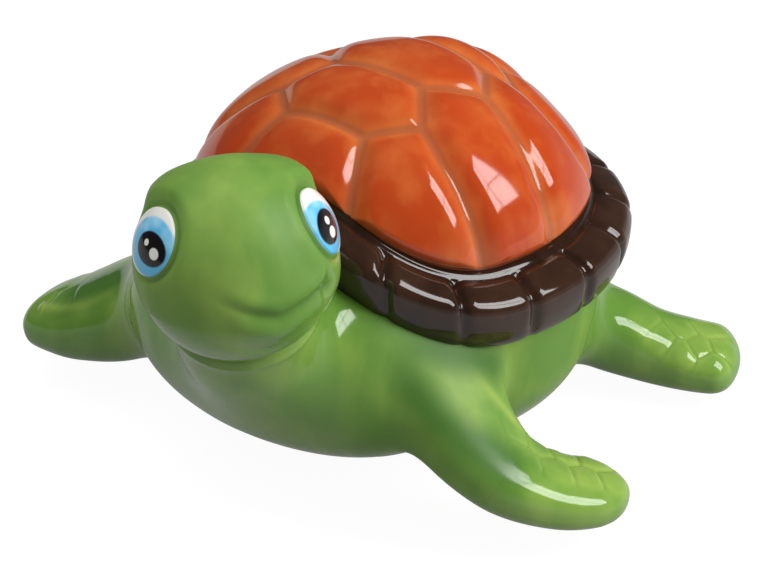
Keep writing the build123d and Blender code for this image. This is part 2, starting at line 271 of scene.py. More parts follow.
# Satin patch on the left flank, in millimetres: where each edge starts and the distance over which it eases
SATIN_INNER, SATIN_OUTER, SATIN_REAR, SATIN_LOW = (38, 16), (90, 14), (26, 16), (18, 20)
# Runs over which the slump, the rear and its corners ease in, shares of the shell's radius
SLUMP_RUN, REAR_RUN, CORNER_RUN = 0.8, 0.7, 0.5
# Run over which the flat rear eases in above the dome's edge, a share of the rise
HIGH_RUN = 0.5
# How much faster a scute falls to the dome's edge than to a groove
LIP_STEEPNESS = 1.6
# The dome's edge turned in: steps inwards and down in millimetres
TUCK = [(0.5, 1.2), (1.8, 2.4), (4.0, 5.0)]
# Bearing at which the rim stands out furthest, and the spread of that, in degrees
FLARE_BEARING, FLARE_SPREAD = 125.0, 32.0
# Corners of the scutes along the back, shares of the shell's radius, from front to rear
BACK_SCUTES = [
    (0.40, -0.88),
    (0.24, -0.527),
    (0.43, -0.32),
    (0.262, -0.10),
    (0.485, 0.13),
    (0.296, 0.385),
    (0.43, 0.47),
    (0.22, 0.64),
    (0.38, 0.96),
]
# Grooves from the corners with these numbers down to the dome's edge, in the same shares
SIDE_SCUTES = {
    2: [(0.62, -0.395), (0.78, -0.435), (0.92, -0.46)],
    4: [(0.73, 0.04), (0.91, -0.02), (1.02, -0.03)],
    6: [(0.635, 0.453), (0.79, 0.484), (0.86, 0.56)],
}
# Numbers of the corners from which a groove crosses the back
CROSS_SCUTES = [1, 3, 5, 7]
# Shares of the rim's reach and depth at which its scutes appear and fade, each with its run
RIM_SHOWN, RIM_FADE = (0.02, 0.12), (0.60, 0.30)
# Share of a marginal scute's relief that is gone at the rim's foot
RIM_LOSS = 0.7
# Outline of the rim's section, shares of its reach and depth, closed through the body
RIM_OUTLINE = [
    (-0.40, 0.10),
    (-0.12, 0.05),
    (0.0, 0.10),
    (0.07, 0.125),
    (0.16, 0.125),
    (0.30, 0.135),
    (0.48, 0.165),
    (0.68, 0.215),
    (0.87, 0.285),
    (0.98, 0.39),
    (1.0, 0.50),
    (0.96, 0.70),
    (0.84, 0.89),
    (0.58, 0.99),
    (0.10, 1.0),
    (-0.50, 0.80),
]
# Sections of the limbs: shares of reach, sweep, drop, width and thickness
FRONT_LEFT = [
    (0.0, 0.0, 0.07, 0.74, 0.68),
    (0.18, -0.80, 0.19, 0.79, 0.68),
    (0.40, -1.09, 0.39, 0.78, 0.63),
    (0.61, -0.90, 0.635, 0.75, 0.56),
    (0.79, -0.32, 0.79, 0.70, 0.49),
    (0.905, 0.30, 0.85, 0.66, 0.42),
    (1.0, 0.88, 0.865, 0.57, 0.37),
]
FRONT_RIGHT = [
    (0.0, 0.0, 0.20, 0.82, 0.88),
    (0.21, -0.42, 0.37, 0.92, 0.90),
    (0.45, -0.71, 0.585, 0.97, 0.85),
    (0.63, -0.90, 0.705, 0.93, 0.72),
    (0.755, -0.98, 0.757, 0.87, 0.61),
    (0.86, -1.0, 0.80, 0.78, 0.50),
    (0.945, -1.0, 0.825, 0.66, 0.41),
]
REAR = [
    (0.0, 0.0, 0.0, 0.86, 0.95),
    (0.28, 0.32, 0.40, 0.82, 0.97),
    (0.52, 0.55, 0.70, 0.80, 0.84),
    (0.72, 0.74, 0.84, 0.91, 0.71),
    (0.89, 0.90, 0.90, 0.92, 0.63),
    (1.0, 1.0, 0.89, 0.87, 0.55),
]
TAIL = [
    (0.0, 0.0, 0.0, 1.0, 1.0),
    (0.0, 0.4, 0.36, 0.84, 0.84),
    (0.0, 0.72, 0.72, 0.56, 0.58),
    (0.0, 0.92, 0.93, 0.36, 0.40),
    (0.0, 1.0, 1.0, 0.28, 0.30),
]
# Power of the cosine and sine in a flipper's section, below 1 for fuller corners
SECTION_POWER = 0.86
# Number of sections over which a limb's tip is rounded off
TIP_RUN = 1.3
# A limb is clear of its host, and a fillet's foot of its limb, at these shares of the fillet
CLEAR_SHARE, FOOT_SHARE = 1.15, 1.2
# Distance from the host at which a limb stops following the union, shares of the fillet, with its run
UNION_END = (1.2, 1.2)
# Distances from the corner that are tried for the fillet's foot, shares of the fillet
FOOT_TRIALS = np.linspace(0.9, 3.6, 28)
# How far the limbs' and the neck's glaze lies over the body's, and how far their first row lies under it
LIMB_FLOAT, NECK_FLOAT, SINK = 0.09 * MM, 0.13 * MM, 0.6 * MM
# How far the neck runs on into the head
JAW_SINK = 3.0 * MM
# Middles of the scale plates on the flippers: section number along the limb and degrees round it
REAR_PLATES = [(1.65, 72), (2.15, 56), (2.7, 84), (2.75, 48), (3.25, 66), (3.55, 98), (3.75, 40), (4.05, 74)]
PLATES = {
    "front_left_flipper": [
        (2.2, 78),
        (2.6, 108),
        (3.0, 82),
        (3.4, 112),
        (3.8, 84),
        (4.25, 116),
        (4.6, 82),
        (5.1, 108),
        (5.4, 76),
    ],
    "front_right_flipper": [(1.45, 108), (2.55, 108), (3.4, 118), (4.3, 122)],
    "rear_left_flipper": REAR_PLATES,
    "rear_right_flipper": [(section, 180 - turn) for section, turn in REAR_PLATES],
}
# Reach of a plate, the distance over which it fades and the softness of its edge, in millimetres
PLATE_REACH, PLATE_FADE, PLATE_EDGE = 6.0, 3.5, 1.7
# Height of a plate and depth of the lines between plates, in millimetres
PLATE_RISE, PLATE_LINE = 1.3, 1.05
# Thinning of the glaze on a plate and more of it on the slope to its edge, and where that slope lies
PLATE_THINNING, SLOPE_THINNING, PLATE_SLOPE = 0.12, 0.40, (0.62, 0.30)
# Thinning of the glaze towards a limb's tip, and the share of the limb at which it starts, with its run
TIP_THINNING, TIP_START = 0.15, (0.40, 0.55)
# Share of the plates' relief on all flippers but the front left one
FAINT_PLATES = 0.5
# Rows behind a limb's foot at which its relief starts, and over which it and the painted shade with pooled
# glaze ease in
RELIEF_START, RELIEF_ROWS, POOL_AND_SHADE_ROWS = 25.0, 22.0, 14.0
# Height and reach of a ridge, and how much the glaze thins on it and how far, reaches in millimetres
RIDGE_RISE, RIDGE_REACH = 1.1, 2.4
RIDGE_THINNING, RIDGE_THIN_REACH = 0.75, 2.2
# Painted marks on each eye: middle and radii in units of its half height, towards the face and up
EYE_PAINT = {
    "left_eye": {
        "iris": ((0.45, -0.12), (0.88, 0.86)),
        "pupil": ((0.30, -0.10), (0.52, 0.51)),
        "dots": [((0.25, 0.05), (0.12, 0.12)), ((0.28, -0.31), (0.17, 0.16))],
    },
    "right_eye": {
        "iris": ((0.20, -0.10), (0.98, 0.86)),
        "pupil": ((0.33, -0.12), (0.61, 0.49)),
        "dots": [((0.13, -0.01), (0.10, 0.10)), ((0.55, -0.18), (0.17, 0.17))],
    },
}
# Slope of the line on which a brow runs, and its spread below and above that line, in degrees
BROW_LINE, BROW_BELOW, BROW_ABOVE = 45.0, 10.0, 21.0
# Where the brows start behind, where they end before and where the crown starts, in head radii, with runs
BROW_BACK, BROW_FRONT, CROWN_START = (-1.0, 0.5), (0.02, 0.62), (0.6, 0.4)
# Height of the right brow, a share of the left one
RIGHT_BROW = 0.7
# Rings round an eye, middle and spread in units of its oval: fold, crease and the darker green in the crease
LID_FOLD, LID_CREASE, LID_DARKENING = (1.42, 0.26), (1.10, 0.07), (1.08, 0.10)
# Distance over which the lid runs out into the head, in the same units
LID_RUN = 0.55
# Value of those units on the head's other side, beyond every ring
FAR_RING = 9.0
# Lines beside the mouth, middle and spread in degrees above it: the line, the lips and the fold on the chin
MOUTH_LINE, UPPER_LIP, LOWER_LIP, CHIN_FOLD = (0.0, 3.0), (7.0, 6.0), (-11.0, 7.5), (-30.0, 5.0)
# Glossy patch on the left cheek and glossy jaw, in degrees: where each edge starts and over what it eases
CHEEK_FRONT, CHEEK_REAR, CHEEK_TOP, JAW_TOP = (32, 14), (150, 25), (14, -10), (-12, -8)
# Dimples at the ends of the mouth: bearing, elevation and reach in degrees, and depth in millimetres
DIMPLES = [(50.0, -4.0, 5.0, 1.5), (-51.0, 0.0, 5.5, 0.25)]
# Cheeks: bearing in degrees and swell in millimetres
CHEEKS = [(63.0, 1.2), (-65.0, 0.5)]
CHEEK_ELEVATION, CHEEK_REACH = -7.0, 13.0
# Lowest place of the mouth line, in degrees on the head
MOUTH_BEARING, MOUTH_ELEVATION = 15.5, -7.5
# Climb of the mouth line to the right and to the left of that place: degrees up at degrees aside, and a power
MOUTH_RIGHT, MOUTH_LEFT = (8.5, 23.0, 1.2), (5.5, 25.0, 0.9)
# Bearings at which the mouth line starts on the right and ends on the left, each with its run
MOUTH_START, MOUTH_END = (-24.0, 24.0), (44.0, 8.0)
# Bearing and spread of the lower lip, the chin's fold and the shade over the mouth
LIP_BEARING, CHIN_BEARING, SHADE_BEARING = (13.0, 34.0), (14.0, 26.0), (6.0, 20.0)
# Middle and spread of that shade, in degrees above the mouth line
SHADE_LINE = (3.5, 5.0)
# Strength of the painted shade in the mouth line, over the mouth and, by millimetre of depth, in the dimples
MOUTH_LINE_SHADE, SHADE_POOL, DIMPLE_SHADE = 0.6, 0.55, 0.55
# How dark a flipper gets along its lines of painted shade with pooled glaze
POOL_AND_SHADE_DEPTH = 1.35
# Lines along which a flipper is painted darker green, in millimetres, each with the reach of that shade:
# painted shade under the rim and by the shoulder, with glaze pooled there
POOL_AND_SHADE_LINES = {
    "front_left_flipper": [
        ([(51, -72, 73), (61, -70, 62), (73, -70, 52), (84, -68, 47), (95, -62, 38)], 9.0),
        ([(55, -62, 72), (66, -52, 67), (74, -40, 60)], 9.0),
    ],
    "front_right_flipper": [([(-75, -60, 52), (-95, -64, 40)], 11.0)],
}
# Roughness, coat and shine of the glossy glaze and of the satin one
GLOSS = {"rough": 0.09, "coat": 0.15, "shine": 0.5}
SATIN = {"rough": 0.45, "coat": 0.0, "shine": 0.3}
# Height below which the foot is bare clay, and heights between which the shell's orange turns lighter towards
# the top
BARE_HEIGHT, LIGHTER_FROM, LIGHTER_TO = 0.25 * MM, 118 * MM, 146 * MM
# Ridges along the flippers, given in the same way as the plates
RIDGES = {
    "front_left_flipper": [(1.0, 104), (1.5, 112), (2.0, 116), (2.6, 118)],
    "front_right_flipper": [(1.7, 128), (2.4, 134), (3.2, 134), (4.0, 130)],
}


# Plain mathematics on whole arrays


def norm(vectors):
    """Lengths of the vectors on the last axis."""
    return np.sqrt((vectors * vectors).sum(-1))


def dot(a, b):
    """Scalar products of the vectors on the last axis."""
    return (a * b).sum(-1)


def unit(vectors):
    """The vectors on the last axis, each divided by its length."""
    return vectors / np.maximum(norm(vectors), 1e-12)[..., None]


def level_way(bearing):
    """Level unit vectors that point along the bearings."""
    return np.stack([np.sin(bearing), -np.cos(bearing), 0 * bearing], -1)


def ease(x):
    """Smooth step: 0 below 0, 1 above 1 and 3x^2 - 2x^3 between."""
    x = np.clip(x, 0.0, 1.0)
    return x * x * (3.0 - 2.0 * x)


def bell(x):
    """Bell curve exp(-x^2)."""
    return np.exp(-x * x)


def bell_at(x, middle_and_spread):
    """Bell curve round a middle, with a spread."""
    middle, spread = middle_and_spread
    return bell((x - middle) / spread)


def ease_from(x, start_and_run):
    """Smooth step that starts at a value and rises over a run, downwards for a negative run."""
    start, run = start_and_run
    return ease((x - start) / run)


def smooth_min(a, b, reach):
    """The smaller of two distances, rounded where they differ by less than the reach."""
    h = np.maximum(reach - np.abs(a - b), 0.0) / reach
    return np.minimum(a, b) - h * h * reach / 4.0


def through(rows, u):
    """Catmull-Rom curve through the rows at the places u, which count rows from 0."""
    ends = np.vstack([2 * rows[0] - rows[1], rows, 2 * rows[-1] - rows[-2]])
    i = np.clip(np.floor(u).astype(int), 0, len(rows) - 2)
    f = (u - i)[..., None]
    a, b, c, d = ends[i], ends[i + 1], ends[i + 2], ends[i + 3]
    return 0.5 * (2 * b + (c - a) * f + (2 * a - 5 * b + 4 * c - d) * f**2 + (3 * b - a - 3 * c + d) * f**3)


def egg_field(points, centre, radii):
    """Distance from an egg, to first order: k0 (k0 - 1) / k1 with k0 = |q / r| and k1 = |q / r^2|."""
    q = points - centre
    k0 = norm(q / radii)
    k1 = norm(q / radii**2)
    return k0 * (k0 - 1.0) / np.maximum(k1, 1e-9)


def slope_of(field, points, step=0.02 * MM):
    """Gradient of a field by central differences."""
    shifts = step * np.eye(3)
    return np.stack([(field(points + s) - field(points - s)) / (2 * step) for s in shifts], -1)


def settle(points, field, rounds=8):
    """Moves points along the field's gradient onto its zero surface, by Newton's steps."""
    for _ in range(rounds):
        slope = slope_of(field, points)
        points = points - (field(points) / np.maximum(dot(slope, slope), 0.2))[..., None] * slope
    return points


def around(values, passes=6):
    """Evens out values given round a closed ring."""
    for _ in range(passes):
        values = (np.roll(values, 1, 0) + 2 * values + np.roll(values, -1, 0)) / 4
    return values


# Meshes


def grid_faces(rows, columns, close_rows, first_pole, last_pole):
    """Corner numbers of the quads and triangles of a grid that is closed round its columns."""
    full = np.arange(rows * columns).reshape(rows, columns)
    if first_pole:
        full[0] = 0
        full[1:] -= columns - 1
    if last_pole:
        full[-1] = full[-2].max() + 1
    upper = full if close_rows else full[:-1]
    lower = np.roll(full, -1, 0) if close_rows else full[1:]
    quads = np.stack([upper, np.roll(upper, -1, 1), np.roll(lower, -1, 1), lower], -1)
    fans = []
    if first_pole:
        fans.append(quads[0][:, [0, 2, 3]])
        quads = quads[1:]
    if last_pole:
        fans.append(quads[-1][:, [0, 1, 2]])
        quads = quads[:-1]
    return quads.reshape(-1, 4), np.concatenate(fans) if fans else np.zeros((0, 3), int)


def flat_rows(values, first_pole, last_pole):
    """Values on a grid as a list of vertices, where a pole's row counts as one vertex."""
    parts = [values[:1, 0] if first_pole else values[0]]
    parts.extend(values[1:-1])
    parts.append(values[-1:, 0] if last_pole else values[-1])
    return np.concatenate(parts)


def skin(
    name, grid, first_pole=False, last_pole=False, close_rows=False, layers=None, uv=None, sharp_row=None
):
    """A smooth mesh over a grid of points (rows, columns, 3), turned outwards, with its layers or UV map."""
    rows, columns, _ = grid.shape
    quads, fans = grid_faces(rows, columns, close_rows, first_pole, last_pole)
    points = flat_rows(grid, first_pole, last_pole)
    middle = points.mean(0)
    corners = points[quads] - middle
    volume = (corners[:, 0] * np.cross(corners[:, 1], corners[:, 2])).sum()
    volume += (corners[:, 0] * np.cross(corners[:, 2], corners[:, 3])).sum()
    if volume < 0:
        quads = quads[:, ::-1]
        fans = fans[:, ::-1]
    mesh = bpy.data.meshes.new(name)
    mesh.vertices.add(len(points))
    mesh.vertices.foreach_set("co", points.astype(np.float32).ravel())
    loops = np.concatenate([quads.ravel(), fans.ravel()]).astype(np.int32)
    starts = np.concatenate([np.arange(len(quads)) * 4, 4 * len(quads) + np.arange(len(fans)) * 3])
    mesh.loops.add(len(loops))
    mesh.loops.foreach_set("vertex_index", loops)
    mesh.polygons.add(len(starts))
    mesh.polygons.foreach_set("loop_start", starts.astype(np.int32))
    mesh.update(calc_edges=True)
    mesh.polygons.foreach_set("use_smooth", np.ones(len(starts), bool))
    if sharp_row is not None:
        ends = np.empty(2 * len(mesh.edges), np.int32)
        mesh.edges.foreach_get("vertices", ends)
        ring = (ends // columns == sharp_row).reshape(-1, 2).all(1)
        mesh.attributes.new("sharp_edge", "BOOLEAN", "EDGE").data.foreach_set("value", ring)
    for layer, values in (layers or {}).items():
        held = mesh.attributes.new(layer, "FLOAT", "POINT")
        held.data.foreach_set("value", flat_rows(values, first_pole, last_pole).astype(np.float32))
    if uv is not None:
        spots = flat_rows(uv, first_pole, last_pole)[loops]
        mesh.uv_layers.new(name="eye").data.foreach_set("uv", spots.astype(np.float32).ravel())
    mesh.validate()
    piece = bpy.data.objects.new(name, mesh)
    bpy.context.scene.collection.objects.link(piece)
    return piece


def dress(piece, node, material):
    """Puts a piece in a node's place: it rides on the body, replaces the solid and takes the slot."""
    piece.data.materials.append(material)
    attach(piece, "root")
    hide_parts(node)


# Body


def bowl_field(points, body):
    """Distance from the bowl: an egg, deep below its widest place, shallow above it, fuller at the flanks."""
    x, z = points[..., 0], points[..., 2]
    low = bell((z / body.height - FLANK_LEVEL) / FLANK_SPREAD)
    swell = 1 + body.flank_swell * low * ease(np.abs(x) / (FLANK_SIDE * body.half_width))
    tall = np.where(z < body.height, body.depth, body.cover)
    radii = np.stack([body.half_width * swell, body.half_length * swell, tall], -1)
    return egg_field(points, body.height * UP, radii)


def body_field(points, body):
    """Bowl and chest in a smooth union, cut off level at the foot with a rounded edge."""
    z = points[..., 2]
    low = bell((z / body.height - CHEST_LEVEL) / CHEST_SPREAD)
    wide = body.chest_half_width * (1 + body.chest_swell * low)
    radii = np.stack([wide, body.chest_depth + 0 * z, body.chest_radius + 0 * z], -1)
    centre = np.array([-body.chest_aside, -body.chest_forward, body.chest_height])
    chest = egg_field(points, centre, radii)
    whole = smooth_min(bowl_field(points, body), chest, body.chest_blend)
    return -smooth_min(-whole, z, body.foot_round)


def torso_grid(body, rows=190, columns=288, ray=250 * MM, halvings=34):
    """Rays from a core above the drain hole, by bearing and elevation, each cut where it leaves the body.

    The cut is found by halving the stretch between a point inside and a point outside.
    """
    core = np.array([0.0, body.hole_back, CORE_LEVEL * body.height])
    bearing = np.linspace(0, 2 * np.pi, columns, endpoint=False)
    low = np.arctan2(HOLE_MARGIN * body.hole_radius, core[2]) - np.pi / 2
    elevation = np.linspace(low, np.pi / 2, rows)[:, None, None]
    side = level_way(bearing)
    way = np.cos(elevation) * side + np.sin(elevation) * UP
    near = np.zeros((rows, columns))
    far = np.full((rows, columns), ray)
    for _ in range(halvings):
        middle = (near + far) / 2
        inside = body_field(core + middle[..., None] * way, body) < 0
        near = np.where(inside, middle, near)
        far = np.where(inside, far, middle)
    mouth = np.array([0.0, body.hole_back, 0.0])
    wide, deep = np.array(HOLE_RINGS).T[..., None, None]
    hole = mouth + wide * body.hole_radius * side + deep * body.hole_depth * UP
    return np.concatenate([hole, core + near[..., None] * way])


def flank_satin(points):
    """Share of satin in the glaze: full on the left flank from the shoulder to the rear flipper's root."""
    x, y, z = np.moveaxis(points, -1, 0) / MM
    across = ease_from(x, SATIN_INNER) * (1 - ease_from(x, SATIN_OUTER))
    return across * (1 - ease_from(y, SATIN_REAR)) * ease_from(z, SATIN_LOW)


# Shell


def arch_height(x, shell):
    """Height of the dome's edge: level, and raised over the neck by (1 - (x / width)^2)^power."""
    inside = np.maximum(0.0, 1 - (x / shell.arch_half_width) ** 2)
    return shell.edge_height + shell.arch_rise * inside**shell.arch_power


def edge_share(bearing, shell, rounds=14):
    """Share of the radius at which the egg meets the arched edge, found by repeated substitution."""
    share = np.ones_like(bearing)
    ahead = np.cos(bearing) > 0
    for _ in range(rounds):
        arched = arch_height(shell.radius * share * np.sin(bearing), shell)
        height = np.where(ahead, arched, shell.edge_height)
        share = np.sqrt(1 - ((height - shell.spring_height) / shell.rise) ** 2)
    return share


def on_egg(share, bearing, shell):
    """Points of the shell's egg at a share of its radius and a bearing."""
    height = shell.spring_height + shell.rise * np.sqrt(np.maximum(0.0, 1 - share**2))
    return (shell.radius * share)[..., None] * level_way(bearing) + height[..., None] * UP


def slumped(points, shell):
    """The shell's points with its right side let down towards the edge and its rear corners flattened."""
    x, y, z = np.moveaxis(points, -1, 0)
    down = shell.slump * ease(-x / (SLUMP_RUN * shell.radius))
    corner = ease(y / (REAR_RUN * shell.radius)) * ease(np.abs(x) / (CORNER_RUN * shell.radius))
    high = ease((z - shell.edge_height) / (HIGH_RUN * shell.rise))
    return points - (down + shell.rear_flat * corner * high)[..., None] * UP


def groove_lines(shell, steps=6):
    """Points along each stretch of groove between two corners, lifted onto the egg."""
    back = np.array(BACK_SCUTES)
    stretches = [back[i : i + 2] for i in range(len(back) - 1)]
    for start, shares in SIDE_SCUTES.items():
        stretches.append(np.vstack([back[start], shares]))
    stretches.extend([line * (-1, 1) for line in list(stretches)])
    stretches.extend([np.stack([back[i], back[i] * (-1, 1)]) for i in CROSS_SCUTES])
    lifted = []
    for line in stretches:
        u = np.linspace(0, len(line) - 1, (len(line) - 1) * steps + 1)
        i = np.minimum(u.astype(int), len(line) - 2)
        plan = line[i] + (u - i)[:, None] * (line[i + 1] - line[i])
        lifted.append(on_egg(np.minimum(norm(plan), 1.0), np.arctan2(plan[:, 0], -plan[:, 1]), shell))
    return lifted


def distance_to_line(points, line):
    """Distance from each point to the nearest of a line's straight runs."""
    nearest = np.full(points.shape[:-1], np.inf)
    for start, end in zip(line[:-1], line[1:]):
        run = end - start
        share = np.clip(((points - start) @ run) / (run @ run), 0.0, 1.0)
        nearest = np.minimum(nearest, norm(points - start - share[..., None] * run))
    return nearest


def rounded_distance(points, lines, power=5.0):
    """Distance to the nearest of several lines, rounded where two are equally near: (sum of d^-p)^(-1/p)."""
    total = 0.0
    for line in lines:
        total = total + np.maximum(distance_to_line(points, line), 0.01 * MM) ** -power
    return total ** (-1 / power)


def pillow(distance, width, soft, power=2.4):
    """Rise of a scute from its groove: 1 - (1 - d / width)^power, with a rounded floor."""
    d = np.sqrt(distance**2 + soft**2) - soft
    return 1 - (1 - np.clip(d / width, 0.0, 1.0)) ** power


def dome_grid(shell, rows=190, columns=440):
    """The egg's cap by bearing and share of the way to its edge, swollen between grooves, tucked in below."""
    bearing = np.linspace(0, 2 * np.pi, columns, endpoint=False)[None]
    way = np.linspace(0, 1, rows)[:, None]
    points = on_egg(np.sin(way * np.arcsin(edge_share(bearing, shell))), bearing, shell)
    radii = np.array([shell.radius, shell.radius, shell.rise])
    outward = unit((points - shell.spring_height * UP) / radii**2)
    groove = pillow(rounded_distance(points, groove_lines(shell)), shell.pillow_width, shell.groove_round)
    lip = pillow(LIP_STEEPNESS * norm(points - points[-1:]), shell.pillow_width, 0.0)
    relief = np.minimum(groove, lip)
    rise = relief * (shell.crown + shell.groove_depth) - shell.groove_depth
    points = points + rise[..., None] * outward
    inward, down = MM * np.array(TUCK).T[..., None, None]
    tucked = points[-1:] - inward * level_way(bearing) - down * UP
    grid = np.concatenate([points, tucked])
    return slumped(grid, shell), {"relief": np.concatenate([relief, 0 * relief[-len(TUCK) :]])}


def rim_grid(shell, rows=96, per_scute=26):
    """A closed section carried round the dome's edge, swollen between the grooves that part its scutes."""
    bearing = np.linspace(0, 2 * np.pi, shell.rim_count * per_scute, endpoint=False)
    edge = on_egg(edge_share(bearing, shell), bearing, shell)
    outline = np.array(RIM_OUTLINE)
    wrapped = np.vstack([outline[-1:], outline, outline[:2]])
    section = through(wrapped, 1 + np.linspace(0, len(outline), rows, endpoint=False))
    out, down = section.T[..., None]
    turned = np.degrees(np.arccos(np.cos(bearing)))
    reach = shell.rim_reach + shell.rim_flare * bell((turned - FLARE_BEARING) / FLARE_SPREAD)
    points = edge + (out * reach)[..., None] * level_way(bearing) - shell.rim_depth * down[..., None] * UP
    pitch = 2 * np.pi / shell.rim_count
    off = np.abs((bearing + pitch / 2) % pitch - pitch / 2)
    relief = pillow(off * norm(points[..., :2]), shell.rim_pillow_width, shell.rim_groove_round)
    shown = ease_from(out, RIM_SHOWN) * (1 - RIM_LOSS * ease_from(down, RIM_FADE))
    rise = relief * (shell.rim_crown + shell.rim_groove_depth) - shell.rim_groove_depth
    points = points + (rise * shown)[..., None] * grid_normals(points, closed_rows=True)
    return slumped(points, shell), {"relief": relief * shown}


# Limbs


def limb_speed(rows, u, nudge=0.02):
    """How far a limb's centre line runs on with its places u, by central differences."""
    return (through(rows, u + nudge)[..., :3] - through(rows, u - nudge)[..., :3]) / (2 * nudge)


def limb_axes(rows, u):
    """Unit vectors of a limb at the places u: along it, across it and up."""
    along = unit(limb_speed(rows, u))
    across = unit(np.cross(along, UP))
    return along, across, np.cross(across, along)


def limb_point(rows, u, turn):
    """Point of a limb's oval section at the place u and the turn round it, drawn in to a blunt tip."""
    here = through(rows, u)
    _, across, up = limb_axes(rows, u)
    blunt = np.sqrt(np.maximum(0.0, 1 - np.clip((u - len(rows) + 1) / TIP_RUN + 1, 0.0, 1.0) ** 2))
    wide, thick, power = here[..., 3] * blunt, here[..., 4] * blunt, here[..., 5]
    aside = wide * np.sign(np.cos(turn)) * np.abs(np.cos(turn)) ** power
    upward = thick * np.sign(np.sin(turn)) * np.abs(np.sin(turn)) ** power
    return here[..., :3] + aside[..., None] * across + upward[..., None] * up


def limb_field(points, rows):
    """Distance from a limb, to first order: from its oval section at the nearest place of its centre line."""
    places = np.linspace(0, len(rows) - 1, 40)
    gaps = points[..., None, :] - through(rows, places)[:, :3]
    u = places[dot(gaps, gaps).argmin(-1)]
    for _ in range(2):
        speed = limb_speed(rows, u)
        off = points - through(rows, u)[..., :3]
        u = np.clip(u + dot(off, speed) / dot(speed, speed), 0, len(rows) - 1)
    here = through(rows, u)
    along, across, up = limb_axes(rows, u)
    off = points - here[..., :3]
    wide, thick, power = here[..., 3], here[..., 4], 2 / here[..., 5]
    deep = (wide + thick) / 2
    a = np.abs(dot(off, across)) / wide + 1e-9
    b = np.abs(dot(off, up)) / thick + 1e-9
    c = np.abs(dot(off, along)) / deep
    oval = (a**power + b**power) ** (1 / power)
    tilt = np.hypot((a / oval) ** (power - 1) / wide, (b / oval) ** (power - 1) / thick)
    whole = np.hypot(oval, c)
    return (whole - 1) * whole / np.maximum(np.hypot(oval * tilt, c / deep), 1e-9)


def rooted_columns(rows, turn, host, fillet):
    """For each line along a limb: the corner where it leaves its host, where it is clear, the fillet's foot.

    The foot lies on the host, as far from the corner as it takes to be clear of the limb. The rings of
    corners and feet are evened out and settled on the host again.
    """
    scan = np.linspace(0, len(rows) - 1.2, 320)
    outside = host(limb_point(rows, scan[:, None], turn))
    last = len(scan) - 1 - (outside[::-1] < 0).argmax(0)
    past = np.arange(len(scan))[:, None] > last
    clear = (past & (outside >= CLEAR_SHARE * fillet)).argmax(0)
    clear = np.where(clear == 0, np.minimum(last + 60, len(scan) - 1), clear)
    leave = around(scan[last])
    clear = np.maximum(around(scan[clear], 20), leave + 0.05)
    corner = settle(around(settle(limb_point(rows, leave, turn), host, 2), 8), host, 2)

    def own(points):
        return limb_field(points, rows)

    normal = unit(slope_of(host, corner))
    slope = slope_of(own, corner)
    away = unit(slope - dot(slope, normal)[..., None] * normal)
    reaches = fillet * FOOT_TRIALS
    trial = settle(corner + reaches[:, None, None] * away, host, 3)
    first = (own(trial) >= FOOT_SHARE * fillet).argmax(0)
    reach = around(reaches[first], 12)
    foot = settle(around(settle(corner + reach[:, None] * away, host, 4), 30), host, 4)
    return corner, clear, foot


def bend(foot, corner, start, count):
    """Rows of points on the quadratic curves that leave the foot, turn at the corner and end at the start."""
    s = np.linspace(0, 1, count)[:, None, None]
    return (1 - s) ** 2 * foot + 2 * s * (1 - s) * corner + s**2 * start


def sunk_row(foot, host):
    """The foot of a fillet, let into its host."""
    return (foot - slope_of(host, foot) * SINK)[None]


def limb_grid(rows, host, fillet, columns=160, flare_rows=24, shaft_rows=124):
    """A limb by place along it and turn round it; near its root it follows the smooth union with its host."""
    turn = np.linspace(0, 2 * np.pi, columns, endpoint=False)
    corner, clear, foot = rooted_columns(rows, turn, host, fillet)

    def joined(points):
        return smooth_min(host(points), limb_field(points, rows), fillet) - LIMB_FLOAT

    flare = settle(bend(foot, corner, limb_point(rows, clear, turn), flare_rows), joined)
    way = np.sin(np.linspace(0, np.pi / 2, shaft_rows))[1:, None]
    u = clear + (len(rows) - 1 - clear) * way
    shaft = limb_point(rows, u, turn)
    share = 1 - ease_from(host(shaft) / fillet, UNION_END)
    near = share > 0
    shaft[near] += share[near][:, None] * (settle(shaft[near], joined) - shaft[near])
    grid = np.concatenate([sunk_row(foot, host), flare, shaft])
    places = np.concatenate([np.zeros((flare_rows + 1, columns)), u])
    return grid, places


def grid_normals(grid, closed_rows=False):
    """Normals of a grid closed round its columns, by central differences, away from its rings' middles."""
    along = np.roll(grid, -1, 0) - np.roll(grid, 1, 0) if closed_rows else np.gradient(grid, axis=0)
    about = np.roll(grid, -1, 1) - np.roll(grid, 1, 1)
    normal = unit(np.cross(about, along))
    middle = grid.mean(0 if closed_rows else 1, keepdims=True)
    return normal * np.sign(dot(normal, grid - middle).mean())


def plate_relief(grid, rows, plates):
    """Rise of the scale plates in millimetres, and how much the glaze thins on them.

    A plate rises with the difference between the distances to its own middle and to the next one.
    """
    section, turn = np.array(plates).T
    apart = np.sort(norm(grid[:, :, None] - limb_point(rows, section, np.radians(turn))), -1) / MM
    near = 1 - ease((apart[..., 0] - PLATE_REACH) / PLATE_FADE)
    plate = 1 - np.exp((apart[..., 0] - apart[..., 1]) / PLATE_EDGE)
    thin = PLATE_THINNING + SLOPE_THINNING * bell_at(plate, PLATE_SLOPE)
    return near * (PLATE_RISE * plate - PLATE_LINE), near * thin


def ridge_relief(grid, rows, ridge):
    """Rise of a ridge in millimetres, a bell across its line, and how much the glaze thins on it."""
    steps = np.linspace(0, len(ridge) - 1, 24)
    section, turn = (np.interp(steps, np.arange(len(ridge)), values) for values in np.array(ridge).T)
    off = distance_to_line(grid, limb_point(rows, section, np.radians(turn))) / MM
    return RIDGE_RISE * bell(off / RIDGE_REACH), RIDGE_THINNING * bell(off / RIDGE_THIN_REACH)


